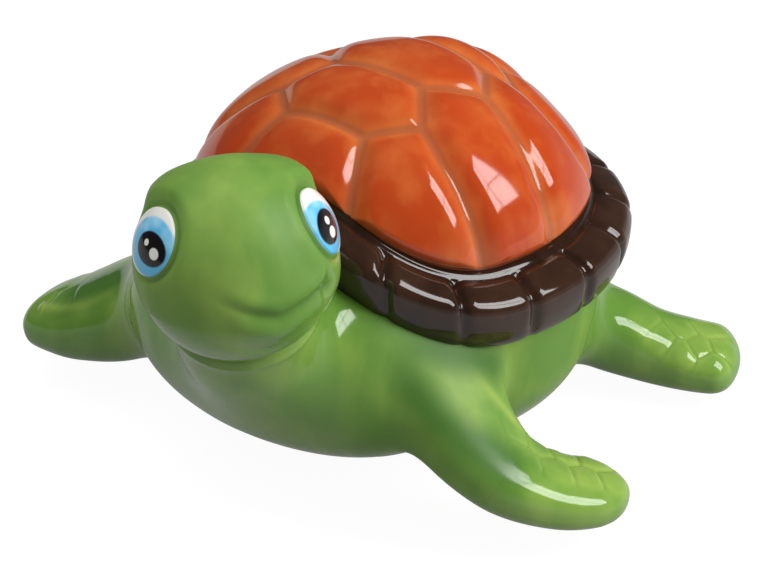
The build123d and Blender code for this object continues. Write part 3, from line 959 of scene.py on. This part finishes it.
def scaled(node, grid, rows, places):
    """A flipper's grid with its plates and ridge raised, and the layers that its glaze reads.

    Plates and ridge grow from nothing over the rows behind the flare. The painted shade with pooled glaze is
    a bell across each of its lines.
    """
    row = np.arange(len(grid))[:, None]
    grown = ease((row - RELIEF_START) / RELIEF_ROWS)
    rise = np.zeros(grid.shape[:2])
    yellow = TIP_THINNING * ease_from(places / (len(rows) - 1), TIP_START) * grown
    if node in PLATES:
        raised, thin = plate_relief(grid, rows, PLATES[node])
        rise += raised * (1.0 if node == "front_left_flipper" else FAINT_PLATES)
        yellow += thin
    if node in RIDGES:
        raised, thin = ridge_relief(grid, rows, RIDGES[node])
        rise += raised
        yellow += thin
    grid = grid + (rise * grown * MM)[..., None] * grid_normals(grid)
    # Painted shade by the shoulder and under the rim, with glaze pooled there: the hollow layer darkens the
    # green near each line
    hollow = np.zeros(grid.shape[:2])
    for line, reach in POOL_AND_SHADE_LINES.get(node, []):
        pool = bell(distance_to_line(grid, np.array(line) * MM) / (reach * MM))
        hollow = np.maximum(hollow, POOL_AND_SHADE_DEPTH * pool * ease(row / POOL_AND_SHADE_ROWS))
    return grid, {"yellow": yellow, "hollow": hollow, "satin": flank_satin(grid)}


def limb_rows(root, reach, sweep, drop, width, thickness, shares, side):
    """Centres, half sizes and powers of a limb's sections, on the left for side 1 and on the right for -1."""
    out, along, down, wide, thick = np.array(shares).T
    x, y, z = side * (root[0] + reach * out), root[1] + sweep * along, root[2] - drop * down
    power = np.where(np.arange(len(out)) > 0, SECTION_POWER, 1.0)
    return np.stack([x, y, z, width * wide, thickness * thick, power], -1)


def neck_rows(head):
    """Centres and half sizes of the neck's sections, from the chest to the middle of the head."""
    return np.array(
        [
            [*head.neck_root, head.neck_root_radius, head.neck_root_radius, 1.0],
            [*head.neck_bend, head.neck_radius, head.neck_radius, 1.0],
            [*head.centre, head.neck_radius, head.neck_radius, 1.0],
        ]
    )


# Head


def head_axes(head):
    """Unit vectors to the head's left, front and top."""
    front = np.array([np.sin(head.yaw), -np.cos(head.yaw), 0.0])
    left = unit(np.cross(UP, front))
    tilted = left * np.cos(head.roll) + UP * np.sin(head.roll)
    return tilted, front, np.cross(tilted, front) * -1


def toward(bearing, elevation):
    """Direction on the head (left, front, up) at a bearing from its front and an elevation."""
    level = np.cos(elevation)
    return np.stack([level * np.sin(bearing), level * np.cos(bearing), np.sin(elevation) + 0 * bearing], -1)


def eye_axes(head, side):
    """Directions of an eye on the head: out of it, towards the face and up."""
    out = toward(np.array(side * head.eye_bearing), np.array(head.eye_elevation))
    ahead = unit(np.cross(UP, out)) * side
    return out, ahead, np.cross(out, ahead) * side


def eye_size(head, side):
    """Half width and half height of an eye."""
    left = (head.left_eye_width, head.left_eye_height)
    return left if side > 0 else (head.right_eye_width, head.right_eye_height)


def brow_rise(way, head):
    """Brows: two ridges between the sides and the top, from the back to the face, and a fuller crown."""
    left, front, up = np.moveaxis(way, -1, 0)
    slope = np.degrees(np.arctan2(up, np.abs(left)))
    spread = np.where(slope < BROW_LINE, BROW_BELOW, BROW_ABOVE)
    run = ease_from(front, BROW_BACK) * (1 - ease_from(front, BROW_FRONT))
    brow = head.brow * np.where(left > 0, 1.0, RIGHT_BROW)
    return brow * bell((slope - BROW_LINE) / spread) * run + head.crown * ease_from(up, CROWN_START)


def with_eye(rise, pool, way, head, side):
    """Rise with an eye's socket, an even lid, a fold before it and a crease at the oval's edge, and the
    darker green in that crease, most before the eye.
    """
    out, ahead, high = eye_axes(head, side)
    wide, tall = eye_size(head, side)
    a = (way @ ahead) * head.radius / wide
    b = (way @ high) * head.radius / tall
    ring = np.where(way @ out > 0, np.hypot(a, b), FAR_RING)
    turn = np.arctan2(b, a)
    before = np.clip(0.5 + 0.75 * np.cos(turn - 0.25), 0.0, 1.0)
    lid = head.lid * (0.62 + 0.38 * np.cos(turn) ** 2)
    rise = rise + (lid - rise) * (1 - ease((ring - 1.0) / LID_RUN))
    rise = rise + head.lid_ridge * bell_at(ring, LID_FOLD) * before
    rise = rise - head.crease * bell_at(ring, LID_CREASE)
    # The crease round the eye is darker green, most before the eye
    return rise, np.maximum(pool, bell_at(ring, LID_DARKENING) * (0.3 + 0.7 * before))


def mouth_rise(way, head):
    """Rise of the mouth line, the lips, the fold on the chin, the dimples and the cheeks, and the painted
    shade in the mouth line, over the mouth and in the dimples.

    Each is a bell across its line or round its middle, in degrees of bearing and elevation on the head.
    """
    left, front, up = np.moveaxis(way, -1, 0)
    bearing = np.degrees(np.arctan2(left, front))
    elevation = np.degrees(np.arcsin(np.clip(up, -1, 1)))
    aside = np.abs(bearing - MOUTH_BEARING)
    curves = [climb * (aside / run) ** power for climb, run, power in (MOUTH_RIGHT, MOUTH_LEFT)]
    off = elevation - MOUTH_ELEVATION - np.where(bearing < MOUTH_BEARING, *curves)
    face = front > 0
    ends = ease_from(bearing, MOUTH_START) * (1 - ease_from(bearing, MOUTH_END)) * face
    rise = -head.mouth * bell_at(off, MOUTH_LINE) * ends
    rise += head.upper_lip * bell_at(off, UPPER_LIP) * ends
    rise += head.lower_lip * bell_at(off, LOWER_LIP) * ends * bell_at(bearing, LIP_BEARING)
    rise -= head.chin_fold * bell_at(off, CHIN_FOLD) * bell_at(bearing, CHIN_BEARING) * face
    # Painted shade: darker green along the mouth line, over the mouth and in the dimples
    pool = MOUTH_LINE_SHADE * bell_at(off, MOUTH_LINE) * ends
    pool = np.maximum(pool, SHADE_POOL * bell_at(off, SHADE_LINE) * bell_at(bearing, SHADE_BEARING) * face)
    level = np.cos(np.radians(elevation))
    for middle, height, size, depth in DIMPLES:
        gap = np.hypot((bearing - middle) * level, elevation - height)
        rise -= depth * MM * bell(gap / size)
        pool = np.maximum(pool, DIMPLE_SHADE * depth * bell(gap / (0.8 * size)))
    for middle, swell in CHEEKS:
        gap = np.hypot((bearing - middle) * level, elevation - CHEEK_ELEVATION)
        rise += swell * MM * bell(gap / CHEEK_REACH)
    return rise, pool


def face_rise(way, head):
    """How far the head stands out of its ball in each direction, and how much darker its green is there: in
    an eye's crease, and as painted shade at the mouth and in the dimples.
    """
    rise = brow_rise(way, head)
    pool = np.zeros_like(rise)
    for side in (1, -1):
        rise, pool = with_eye(rise, pool, way, head, side)
    mouth, mouth_shade = mouth_rise(way, head)
    return rise + mouth, np.clip(np.maximum(pool, mouth_shade), 0, 1)


def head_grid(head, rows=176, columns=300):
    """A ball by elevation and bearing, displaced by the face; the left cheek and the jaw keep their gloss."""
    bearing = np.linspace(0, 2 * np.pi, columns, endpoint=False)[None]
    elevation = np.linspace(-np.pi / 2, np.pi / 2, rows)[:, None]
    way = toward(bearing, elevation)
    rise, pool = face_rise(way, head)
    points = np.array(head.centre) + ((head.radius + rise)[..., None] * way) @ np.stack(head_axes(head))
    wide = (np.degrees(bearing) + 180) % 360 - 180
    tall = np.degrees(elevation)
    cheek = ease_from(wide, CHEEK_FRONT) * (1 - ease_from(wide, CHEEK_REAR)) * ease_from(tall, CHEEK_TOP)
    # The hollow layer holds the darker green round the eyes and the painted shade at the mouth
    return points, {"hollow": pool, "satin": 1 - np.maximum(cheek, ease_from(tall, JAW_TOP))}


def neck_grid(head, body, columns=140, flare_rows=26, shaft_rows=60, passes=12):
    """The neck by place along it and turn round it, in a smooth union with the chest and the head.

    Its rows are evened out in several passes and then settled on the union again.
    """
    line = neck_rows(head)
    turn = np.linspace(0, 2 * np.pi, columns, endpoint=False)

    def chest(points):
        return body_field(points, body)

    def ball(points):
        off = points - np.array(head.centre)
        return norm(off) - head.radius - face_rise(unit(off) @ np.stack(head_axes(head)).T, head)[0]

    def joined(points):
        low = smooth_min(chest(points), limb_field(points, line), head.neck_fillet)
        return smooth_min(low, ball(points), head.jaw_fillet) - NECK_FLOAT

    corner, clear, foot = rooted_columns(line, turn, chest, head.neck_fillet)
    scan = np.linspace(0, 2, 400)
    outside = ball(limb_point(line, scan[:, None], turn))
    meet = around(scan[(outside < 0).argmax(0)])
    clear = np.minimum(clear, meet - 0.12)
    flare = bend(foot, corner, limb_point(line, clear, turn), flare_rows)
    u = clear + (meet - clear) * np.linspace(0, 1, shaft_rows)[1:, None]
    grid = settle(np.concatenate([flare, limb_point(line, u, turn)]), joined)
    for _ in range(passes):
        grid[1:-1] = (grid[:-2] + 2 * grid[1:-1] + grid[2:]) / 4
    grid = settle(grid, joined)
    top = limb_point(line, meet, turn)
    inside = top + JAW_SINK * unit(np.array(head.centre) - top)
    return np.concatenate([sunk_row(foot, chest), grid, inside[None]])


def eye_grid(head, side, rows=44, columns=96):
    """An oval cut from a ball by turn and share of the oval, with its edge carried down into the head."""
    out, ahead, high = eye_axes(head, side)
    axes = np.stack(head_axes(head))
    turn = np.linspace(0, 2 * np.pi, columns, endpoint=False)[None]
    share = np.linspace(0, 1, rows)[:, None]
    wide, tall = eye_size(head, side)
    a = wide * share * np.cos(turn)
    b = tall * share * np.sin(turn)
    stand = head.radius + head.eye_stand - head.eye_ball
    lift = stand + np.sqrt(head.eye_ball**2 - a**2 - b**2)
    wall = lift[-1:] - head.eye_skirt
    a, b = np.vstack([a, a[-1:]]), np.vstack([b, b[-1:]])
    lift = np.vstack([lift, wall])
    local = a[..., None] * ahead + b[..., None] * high + lift[..., None] * out
    points = np.array(head.centre) + local @ axes
    uv = np.stack([0.5 + 0.5 * a / tall, 0.5 + 0.5 * b / tall], -1)
    return points, uv


# Shader helpers


def add(tree, kind, inputs=None, **settings):
    """Adds a node, with settings on the node and values or links on its inputs."""
    node = tree.nodes.new(kind)
    for name, value in settings.items():
        setattr(node, name, value)
    for name, value in (inputs or {}).items():
        socket = node.inputs[name]
        if isinstance(value, bpy.types.NodeSocket):
            tree.links.new(value, socket)
        else:
            socket.default_value = value
    return node


def math(tree, operation, first, second=0.0):
    """Value of a sum, product or other operation on two values."""
    return add(tree, "ShaderNodeMath", {0: first, 1: second}, operation=operation).outputs[0]


def mixed(tree, share, first, second):
    """Colour between two colours."""
    return add(tree, "ShaderNodeMix", {0: share, 6: first, 7: second}, data_type="RGBA").outputs[2]


def between(tree, value, low, high):
    """Value rescaled from the range low to high onto 0 to 1, eased and clamped."""
    inputs = {"Value": value, "From Min": low, "From Max": high}
    return add(tree, "ShaderNodeMapRange", inputs, interpolation_type="SMOOTHSTEP").outputs[0]


def span(tree, share, low, high):
    """Value that runs from low to high as the share goes from 0 to 1."""
    return add(tree, "ShaderNodeMapRange", {"Value": share, "To Min": low, "To Max": high}).outputs[0]


def noise(tree, where, scale, detail):
    """Value of a soft noise from 0 to 1."""
    inputs = {"Vector": where, "Scale": scale, "Detail": detail}
    return add(tree, "ShaderNodeTexNoise", inputs).outputs["Fac"]


def rgba(value):
    """A colour with full alpha."""
    return (*value, 1.0)


def layer(tree, name):
    """A float layer of the mesh."""
    return add(tree, "ShaderNodeAttribute", attribute_name=name).outputs["Fac"]


def glaze_group():
    """Flow of a glaze: clouds and brush streaks that shift a colour from deep to thin, and faint ripples."""
    name = "Glaze Flow"
    if name in bpy.data.node_groups:
        return bpy.data.node_groups[name]
    tree = bpy.data.node_groups.new(name, "ShaderNodeTree")
    kinds = {
        "NodeSocketVector": ["Vector"],
        "NodeSocketColor": ["Base", "Thin", "Deep"],
        "NodeSocketFloat": ["Thinning", "Pooling_And_Shade", "Cloud Scale", "Streak Scale"],
    }
    for kind, labels in kinds.items():
        for label in labels:
            tree.interface.new_socket(name=label, in_out="INPUT", socket_type=kind)
    tree.interface.new_socket(name="Colour", in_out="OUTPUT", socket_type="NodeSocketColor")
    tree.interface.new_socket(name="Height", in_out="OUTPUT", socket_type="NodeSocketFloat")
    given = tree.nodes.new("NodeGroupInput").outputs
    where = given["Vector"]
    drawn = add(tree, "ShaderNodeVectorMath", {0: where, 1: (1.0, 1.0, 0.3)}, operation="MULTIPLY")
    cloud = between(tree, noise(tree, where, given["Cloud Scale"], 2.0), 0.38, 0.66)
    streak = between(tree, noise(tree, drawn.outputs[0], given["Streak Scale"], 3.0), 0.40, 0.68)
    thin = math(tree, "ADD", math(tree, "MULTIPLY", cloud, 0.45), math(tree, "MULTIPLY", streak, 0.28))
    thin = math(tree, "SUBTRACT", math(tree, "ADD", thin, given["Thinning"]), 0.12)
    thin = add(tree, "ShaderNodeClamp", {"Value": thin}).outputs[0]
    # Mix towards the deep colour: glaze pooled in hollows and, on the body, painted shade
    deep = math(tree, "SUBTRACT", given["Pooling_And_Shade"], math(tree, "MULTIPLY", cloud, 0.35))
    deep = add(tree, "ShaderNodeClamp", {"Value": deep}).outputs[0]
    tint = mixed(tree, deep, mixed(tree, thin, given["Base"], given["Thin"]), given["Deep"])
    ends = tree.nodes.new("NodeGroupOutput")
    tree.links.new(tint, ends.inputs["Colour"])
    tree.links.new(noise(tree, where, 55.0, 1.0), ends.inputs["Height"])
    return tree


def flow(tree, where, colours, thinning, pooling_and_shade, clouds, streaks):
    """Colour and height of a glaze, from its base, thin and deep colours and the masks that shift them."""
    base, thin, deep = (rgba(value) for value in colours)
    values = {
        "Vector": where,
        "Base": base,
        "Thin": thin,
        "Deep": deep,
        "Thinning": thinning,
        "Pooling_And_Shade": pooling_and_shade,
        "Cloud Scale": clouds,
        "Streak Scale": streaks,
    }
    node = add(tree, "ShaderNodeGroup", values, node_tree=glaze_group())
    return node.outputs["Colour"], node.outputs["Height"]


def new_material(name):
    """An empty node material with its output."""
    material = bpy.data.materials.new(name)
    material.use_nodes = True
    material.node_tree.nodes.clear()
    return material, material.node_tree, add(material.node_tree, "ShaderNodeOutputMaterial")


def finish_glaze(
    tree, output, tint, height, bump=0.10, rough=GLOSS["rough"], coat=GLOSS["coat"], shine=GLOSS["shine"]
):
    """A glossy coat over the colour, with faint ripples in its surface."""
    waves = add(tree, "ShaderNodeBump", {"Height": height, "Strength": bump, "Distance": 0.6 * MM})
    shader = add(
        tree,
        "ShaderNodeBsdfPrincipled",
        {
            "Base Color": tint,
            "Roughness": rough,
            "IOR": 1.52,
            "Specular IOR Level": shine,
            "Coat Weight": coat,
            "Coat Roughness": 0.06,
            "Normal": waves.outputs[0],
        },
    )
    tree.links.new(shader.outputs[0], output.inputs["Surface"])


def green_glaze(colours, name):
    """Body glaze: mid green with yellower thin patches, darker green in hollows as painted shade with glaze
    pooled there; the foot is bare clay.
    """
    material, tree, output = new_material(name)
    where = add(tree, "ShaderNodeTexCoord").outputs["Object"]
    greens = (colours.green, colours.green_thin, colours.green_pooled_and_shaded)
    # The hollow layer darkens the green: painted shade, with glaze pooled in the hollows
    tint, height = flow(tree, where, greens, layer(tree, "yellow"), layer(tree, "hollow"), 24.0, 95.0)
    low = add(tree, "ShaderNodeSeparateXYZ", {"Vector": where}).outputs["Z"]
    bare = math(tree, "LESS_THAN", low, BARE_HEIGHT)
    tint = mixed(tree, bare, tint, rgba(colours.clay))
    satin = layer(tree, "satin")
    finish = {key: span(tree, satin, GLOSS[key], SATIN[key]) for key in GLOSS}
    finish_glaze(tree, output, tint, height, **finish)
    return material


def orange_glaze(colours, name):
    """Shell glaze: red orange in a scute's middle, lighter at its edges and the top, with painted shade and a
    dull painted reflection in the grooves.
    """
    material, tree, output = new_material(name)
    where = add(tree, "ShaderNodeTexCoord").outputs["Object"]
    relief = layer(tree, "relief")
    edge = math(tree, "SUBTRACT", 1.0, between(tree, relief, 0.15, 0.85))
    high = add(tree, "ShaderNodeSeparateXYZ", {"Vector": where}).outputs["Z"]
    # The shell's orange turns lighter towards the top
    top = math(tree, "MULTIPLY", between(tree, high, LIGHTER_FROM, LIGHTER_TO), 0.22)
    thinning = math(tree, "ADD", math(tree, "MULTIPLY", edge, 0.50), top)
    oranges = (colours.orange, colours.orange_thin, colours.orange)
    tint, height = flow(tree, where, oranges, thinning, 0.0, 30.0, 110.0)
    # Painted shade and dull reflection in the grooves, mixed towards the groove colour
    groove = math(tree, "SUBTRACT", 1.0, between(tree, relief, 0.02, 0.34))
    tint = mixed(tree, math(tree, "MULTIPLY", groove, 0.55), tint, rgba(colours.orange_groove))
    finish_glaze(tree, output, tint, height)
    return material


def brown_glaze(colours, name):
    """Rim glaze: near black brown, lighter where it thins over the raised scutes."""
    material, tree, output = new_material(name)
    where = add(tree, "ShaderNodeTexCoord").outputs["Object"]
    thinning = math(tree, "MULTIPLY", between(tree, layer(tree, "relief"), 0.5, 1.0), 0.3)
    browns = (colours.brown, colours.brown_thin, colours.brown)
    tint, height = flow(tree, where, browns, thinning, 0.0, 45.0, 150.0)
    finish_glaze(tree, output, tint, height)
    return material


def disc(tree, x, y, centre, radii, soft=0.06):
    """Mask that is 1 inside a painted oval and 0 outside it, by the distance in units of the oval's radii."""
    across = math(tree, "DIVIDE", math(tree, "SUBTRACT", x, centre[0]), radii[0])
    upward = math(tree, "DIVIDE", math(tree, "SUBTRACT", y, centre[1]), radii[1])
    squares = [math(tree, "MULTIPLY", value, value) for value in (across, upward)]
    ring = math(tree, "SQRT", math(tree, "ADD", *squares))
    return math(tree, "SUBTRACT", 1.0, between(tree, ring, 1.0 - soft, 1.0 + soft))


def eye_glaze(colours, name, paint):
    """Painted eye: white, a blue iris with pale strokes, a black pupil and white dots."""
    material, tree, output = new_material(name)
    spots = add(tree, "ShaderNodeUVMap", uv_map="eye").outputs[0]
    apart = add(tree, "ShaderNodeSeparateXYZ", {"Vector": spots}).outputs
    x, y = (math(tree, "SUBTRACT", math(tree, "MULTIPLY", apart[axis], 2.0), 1.0) for axis in "XY")
    strokes = noise(tree, spots, 3.5, 1.0)
    pale = between(tree, math(tree, "ADD", strokes, math(tree, "MULTIPLY", y, 0.22)), 0.42, 0.78)
    blue = mixed(tree, math(tree, "MULTIPLY", pale, 0.7), rgba(colours.iris), rgba(colours.iris_light))
    tint = mixed(tree, disc(tree, x, y, *paint["iris"]), rgba(colours.eye_white), blue)
    tint = mixed(tree, disc(tree, x, y, *paint["pupil"]), tint, rgba(colours.pupil))
    for centre, radii in paint["dots"]:
        tint = mixed(tree, disc(tree, x, y, centre, radii, 0.12), tint, rgba(colours.eye_white))
    finish_glaze(tree, output, tint, strokes, bump=0.02)
    return material


# Operators


def material_for(slot):
    """The slot's glaze, made once, and named apart from the plain material that the frame brings."""
    name = f"fired_{slot}"
    makers = {"green_glaze": green_glaze, "orange_glaze": orange_glaze, "brown_glaze": brown_glaze}
    return bpy.data.materials.get(name) or makers[slot](bpy.context.scene.turtle_colours, name)


class TURTLE_OT_torso(bpy.types.Operator):
    """Build the bowl of the body with its chest and foot"""

    bl_idname = "turtle.build_torso"
    bl_label = "Torso"

    def execute(self, context):
        grid = torso_grid(context.scene.turtle_body)
        piece = skin("torso_glazed", grid, True, True, layers={"satin": flank_satin(grid)})
        dress(piece, "torso", material_for("green_glaze"))
        return {"FINISHED"}


class TURTLE_OT_shell(bpy.types.Operator):
    """Build the dome of scutes and the rim round it"""

    bl_idname = "turtle.build_shell"
    bl_label = "Shell"

    def execute(self, context):
        shell = context.scene.turtle_shell
        grid, layers = dome_grid(shell)
        dome = skin("carapace_glazed", grid, True, False, layers=layers)
        dress(dome, "carapace_dome", material_for("orange_glaze"))
        grid, layers = rim_grid(shell)
        rim = skin("rim_glazed", grid, close_rows=True, layers=layers)
        dress(rim, "marginal_rim", material_for("brown_glaze"))
        return {"FINISHED"}


class TURTLE_OT_head(bpy.types.Operator):
    """Build the head and its neck"""

    bl_idname = "turtle.build_head"
    bl_label = "Head"

    def execute(self, context):
        head = context.scene.turtle_head
        grid, layers = head_grid(head)
        face = skin("head_glazed", grid, True, True, layers=layers)
        dress(face, "head", material_for("green_glaze"))
        grid = neck_grid(head, context.scene.turtle_body)
        neck = skin("neck_glazed", grid, layers={"satin": flank_satin(grid)}, sharp_row=1)
        dress(neck, "head", material_for("green_glaze"))
        return {"FINISHED"}


class TURTLE_OT_eyes(bpy.types.Operator):
    """Build both painted eyes"""

    bl_idname = "turtle.build_eyes"
    bl_label = "Eyes"

    def execute(self, context):
        head = context.scene.turtle_head
        colours = context.scene.turtle_colours
        for side, node in ((1, "left_eye"), (-1, "right_eye")):
            grid, uv = eye_grid(head, side)
            piece = skin(f"{node}_glazed", grid, True, False, uv=uv)
            dress(piece, node, eye_glaze(colours, f"fired_{node}", EYE_PAINT[node]))
        return {"FINISHED"}


class TURTLE_OT_limbs(bpy.types.Operator):
    """Build the four flippers and the tail"""

    bl_idname = "turtle.build_limbs"
    bl_label = "Flippers and tail"

    def execute(self, context):
        limbs = context.scene.turtle_limbs
        body = context.scene.turtle_body
        neck = neck_rows(context.scene.turtle_head)
        neck_fillet = context.scene.turtle_head.neck_fillet

        def torso(points):
            return body_field(points, body)

        def shoulders(points):
            return smooth_min(body_field(points, body), limb_field(points, neck), neck_fillet)

        front_sizes = (limbs.front_drop, limbs.front_half_width, limbs.front_half_thickness)
        left = (limbs.front_root, limbs.left_reach, limbs.left_sweep, *front_sizes)
        right = (limbs.front_root, limbs.right_reach, limbs.right_sweep, *front_sizes)
        rear_sizes = (limbs.rear_drop, limbs.rear_half_width, limbs.rear_half_thickness)
        rear = (limbs.rear_root, limbs.rear_reach, limbs.rear_sweep, *rear_sizes)
        tail_sizes = (limbs.tail_drop, limbs.tail_half_width, limbs.tail_half_thickness)
        tail = (limbs.tail_root, 0.0, limbs.tail_reach, *tail_sizes)
        plans = [
            ("front_left_flipper", limb_rows(*left, FRONT_LEFT, 1), shoulders),
            ("front_right_flipper", limb_rows(*right, FRONT_RIGHT, -1), shoulders),
            ("rear_left_flipper", limb_rows(*rear, REAR, 1), torso),
            ("rear_right_flipper", limb_rows(*rear, REAR, -1), torso),
            ("tail", limb_rows(*tail, TAIL, 1), torso),
        ]
        for node, rows, host in plans:
            grid, places = limb_grid(rows, host, limbs.fillet)
            grid, layers = scaled(node, grid, rows, places)
            piece = skin(f"{node}_glazed", grid, False, True, layers=layers, sharp_row=1)
            dress(piece, node, material_for("green_glaze"))
        return {"FINISHED"}


def area_light(name, place_at, aim, width, height, watts):
    """A rectangular soft light that looks at a point."""
    data = bpy.data.lights.new(name, "AREA")
    data.shape = "RECTANGLE"
    data.size, data.size_y = width, height
    data.energy = watts
    lamp = bpy.data.objects.new(name, data)
    lamp.location = place_at
    lamp.rotation_euler = (Vector(aim) - Vector(place_at)).to_track_quat("-Z", "Y").to_euler()
    bpy.context.scene.collection.objects.link(lamp)
    return lamp


def soft_light(name, place_at, aim, width, height, watts):
    """A soft light that the glaze doesn't mirror."""
    lamp = area_light(name, place_at, aim, width, height, watts)
    lamp.visible_glossy = False


def window_light(stage):
    """Four panes of a soft window, parted by bars, all facing the shell."""
    bearing, elevation = stage.window_bearing, stage.window_elevation
    way = Vector(np.cos(elevation) * level_way(bearing) + np.sin(elevation) * UP)
    across = Vector(level_way(bearing + np.pi / 2))
    high = way.cross(across)
    middle = way * stage.window_distance + Vector((0.0, 0.0, stage.window_aim))
    wide = (stage.window_width - stage.window_bar) / 2
    tall = (stage.window_height - stage.window_bar) / 2
    for i in (-1, 1):
        for j in (-1, 1):
            aside = across * (i * (wide + stage.window_bar) / 2)
            pane = middle + aside + high * (j * (tall + stage.window_bar) / 2)
            area_light(f"pane_{i}_{j}", pane, pane - way, wide, tall, stage.window_power)


def studio_world(stage):
    """Soft room light; reflections show a pale backdrop low behind the window and a dark room elsewhere."""
    world = bpy.data.worlds.new("studio")
    world.use_nodes = True
    tree = world.node_tree
    tree.nodes.clear()
    output = add(tree, "ShaderNodeOutputWorld")
    path = add(tree, "ShaderNodeLightPath").outputs
    way = add(tree, "ShaderNodeTexCoord").outputs["Generated"]
    rise = add(tree, "ShaderNodeSeparateXYZ", {"Vector": way}).outputs["Z"]
    window = level_way(stage.window_bearing)
    aside = add(tree, "ShaderNodeVectorMath", {0: way, 1: window}, operation="DOT_PRODUCT").outputs["Value"]
    behind = math(tree, "MULTIPLY", between(tree, rise, 0.30, 0.04), between(tree, aside, -0.2, 0.7))
    mirrored = span(tree, behind, stage.dark_room, stage.backdrop)
    light = span(tree, path["Is Glossy Ray"], stage.sky, mirrored)
    strength = span(tree, path["Is Camera Ray"], light, 1.0)
    sky = add(tree, "ShaderNodeBackground", {"Color": (1.0, 1.0, 1.0, 1.0), "Strength": strength})
    tree.links.new(sky.outputs[0], output.inputs["Surface"])
    return world


def floor_material(stage):
    """White floor: the camera sees it lit to white, with part of the object's shadow left in it."""
    material, tree, output = new_material("floor_white")
    path = add(tree, "ShaderNodeLightPath").outputs
    camera = math(tree, "MAXIMUM", path["Is Camera Ray"], path["Is Transmission Ray"])
    mirrored = math(tree, "MULTIPLY", path["Is Glossy Ray"], stage.floor_mirrored)
    seen = math(tree, "MAXIMUM", math(tree, "MULTIPLY", camera, stage.floor_seen), mirrored)
    tint = mixed(tree, camera, (0.32, 0.32, 0.32, 1.0), (0.60, 0.60, 0.60, 1.0))
    paint = add(tree, "ShaderNodeBsdfDiffuse", {"Color": tint})
    glow = add(tree, "ShaderNodeEmission", {"Color": (1.0, 1.0, 1.0, 1.0), "Strength": stage.floor_glow})
    both = add(tree, "ShaderNodeMixShader", {0: seen, 1: paint.outputs[0], 2: glow.outputs[0]})
    tree.links.new(both.outputs[0], output.inputs["Surface"])
    return material


class TURTLE_OT_stage(bpy.types.Operator):
    """Set up the camera, the lights and the floor"""

    bl_idname = "turtle.set_stage"
    bl_label = "Stage"

    def execute(self, context):
        stage = context.scene.turtle_stage
        data = bpy.data.cameras.new("camera")
        data.lens = stage.lens
        data.sensor_width = 36.0
        camera = bpy.data.objects.new("camera", data)
        camera.location = stage.camera_place
        aim = Vector(stage.camera_target) - Vector(stage.camera_place)
        camera.rotation_euler = aim.to_track_quat("-Z", "Y").to_euler()
        context.scene.collection.objects.link(camera)
        context.scene.camera = camera
        half = stage.floor_size / 2
        corners = [(-half, -half, 0), (half, -half, 0), (half, half, 0), (-half, half, 0)]
        mesh = bpy.data.meshes.new("floor")
        mesh.from_pydata(corners, [], [(0, 1, 2, 3)])
        floor = bpy.data.objects.new("floor", mesh)
        floor.location.z = -stage.floor_gap
        context.scene.collection.objects.link(floor)
        mesh.materials.append(floor_material(stage))
        window_light(stage)
        side = stage.fill_size
        soft_light("overhead", stage.fill_place, stage.light_aim, side, side, stage.fill)
        wide, tall = stage.side_width, stage.side_height
        soft_light("side", stage.side_place, stage.light_aim, wide, tall, stage.side_fill)
        context.scene.world = studio_world(stage)
        context.scene.view_settings.view_transform = "Standard"
        return {"FINISHED"}


class TURTLE_PT_panel(bpy.types.Panel):
    """Lists the operators and the settings"""

    bl_idname = "TURTLE_PT_panel"
    bl_label = "Turtle"
    bl_space_type = "VIEW_3D"
    bl_region_type = "UI"
    bl_category = "Turtle"

    def draw(self, context):
        for operator in OPERATORS:
            self.layout.operator(operator.bl_idname)
        for group in GROUPS:
            held = getattr(context.scene, group)
            for name in held.bl_rna.properties.keys():
                if name not in ("rna_type", "name"):
                    self.layout.prop(held, name)


GROUPS = {
    "turtle_shell": ShellSizes,
    "turtle_body": BodySizes,
    "turtle_head": HeadSizes,
    "turtle_limbs": LimbSizes,
    "turtle_colours": GlazeColours,
    "turtle_stage": StageSizes,
}
OPERATORS = [
    TURTLE_OT_torso,
    TURTLE_OT_shell,
    TURTLE_OT_head,
    TURTLE_OT_eyes,
    TURTLE_OT_limbs,
    TURTLE_OT_stage,
]


def register():
    """Registers the classes and hangs the settings on the scene."""
    for group in (*GROUPS.values(), *OPERATORS, TURTLE_PT_panel):
        bpy.utils.register_class(group)
    for name, group in GROUPS.items():
        setattr(bpy.types.Scene, name, PointerProperty(type=group))


def unregister():
    """Takes the settings and classes away again."""
    for name in GROUPS:
        delattr(bpy.types.Scene, name)
    for group in (TURTLE_PT_panel, *OPERATORS[::-1], *list(GROUPS.values())[::-1]):
        bpy.utils.unregister_class(group)


def main():
    """Builds every piece and the stage."""
    register()
    bpy.ops.turtle.build_torso()
    bpy.ops.turtle.build_shell()
    bpy.ops.turtle.build_head()
    bpy.ops.turtle.build_eyes()
    bpy.ops.turtle.build_limbs()
    bpy.ops.turtle.set_stage()


if __name__ == "__main__":
    main()
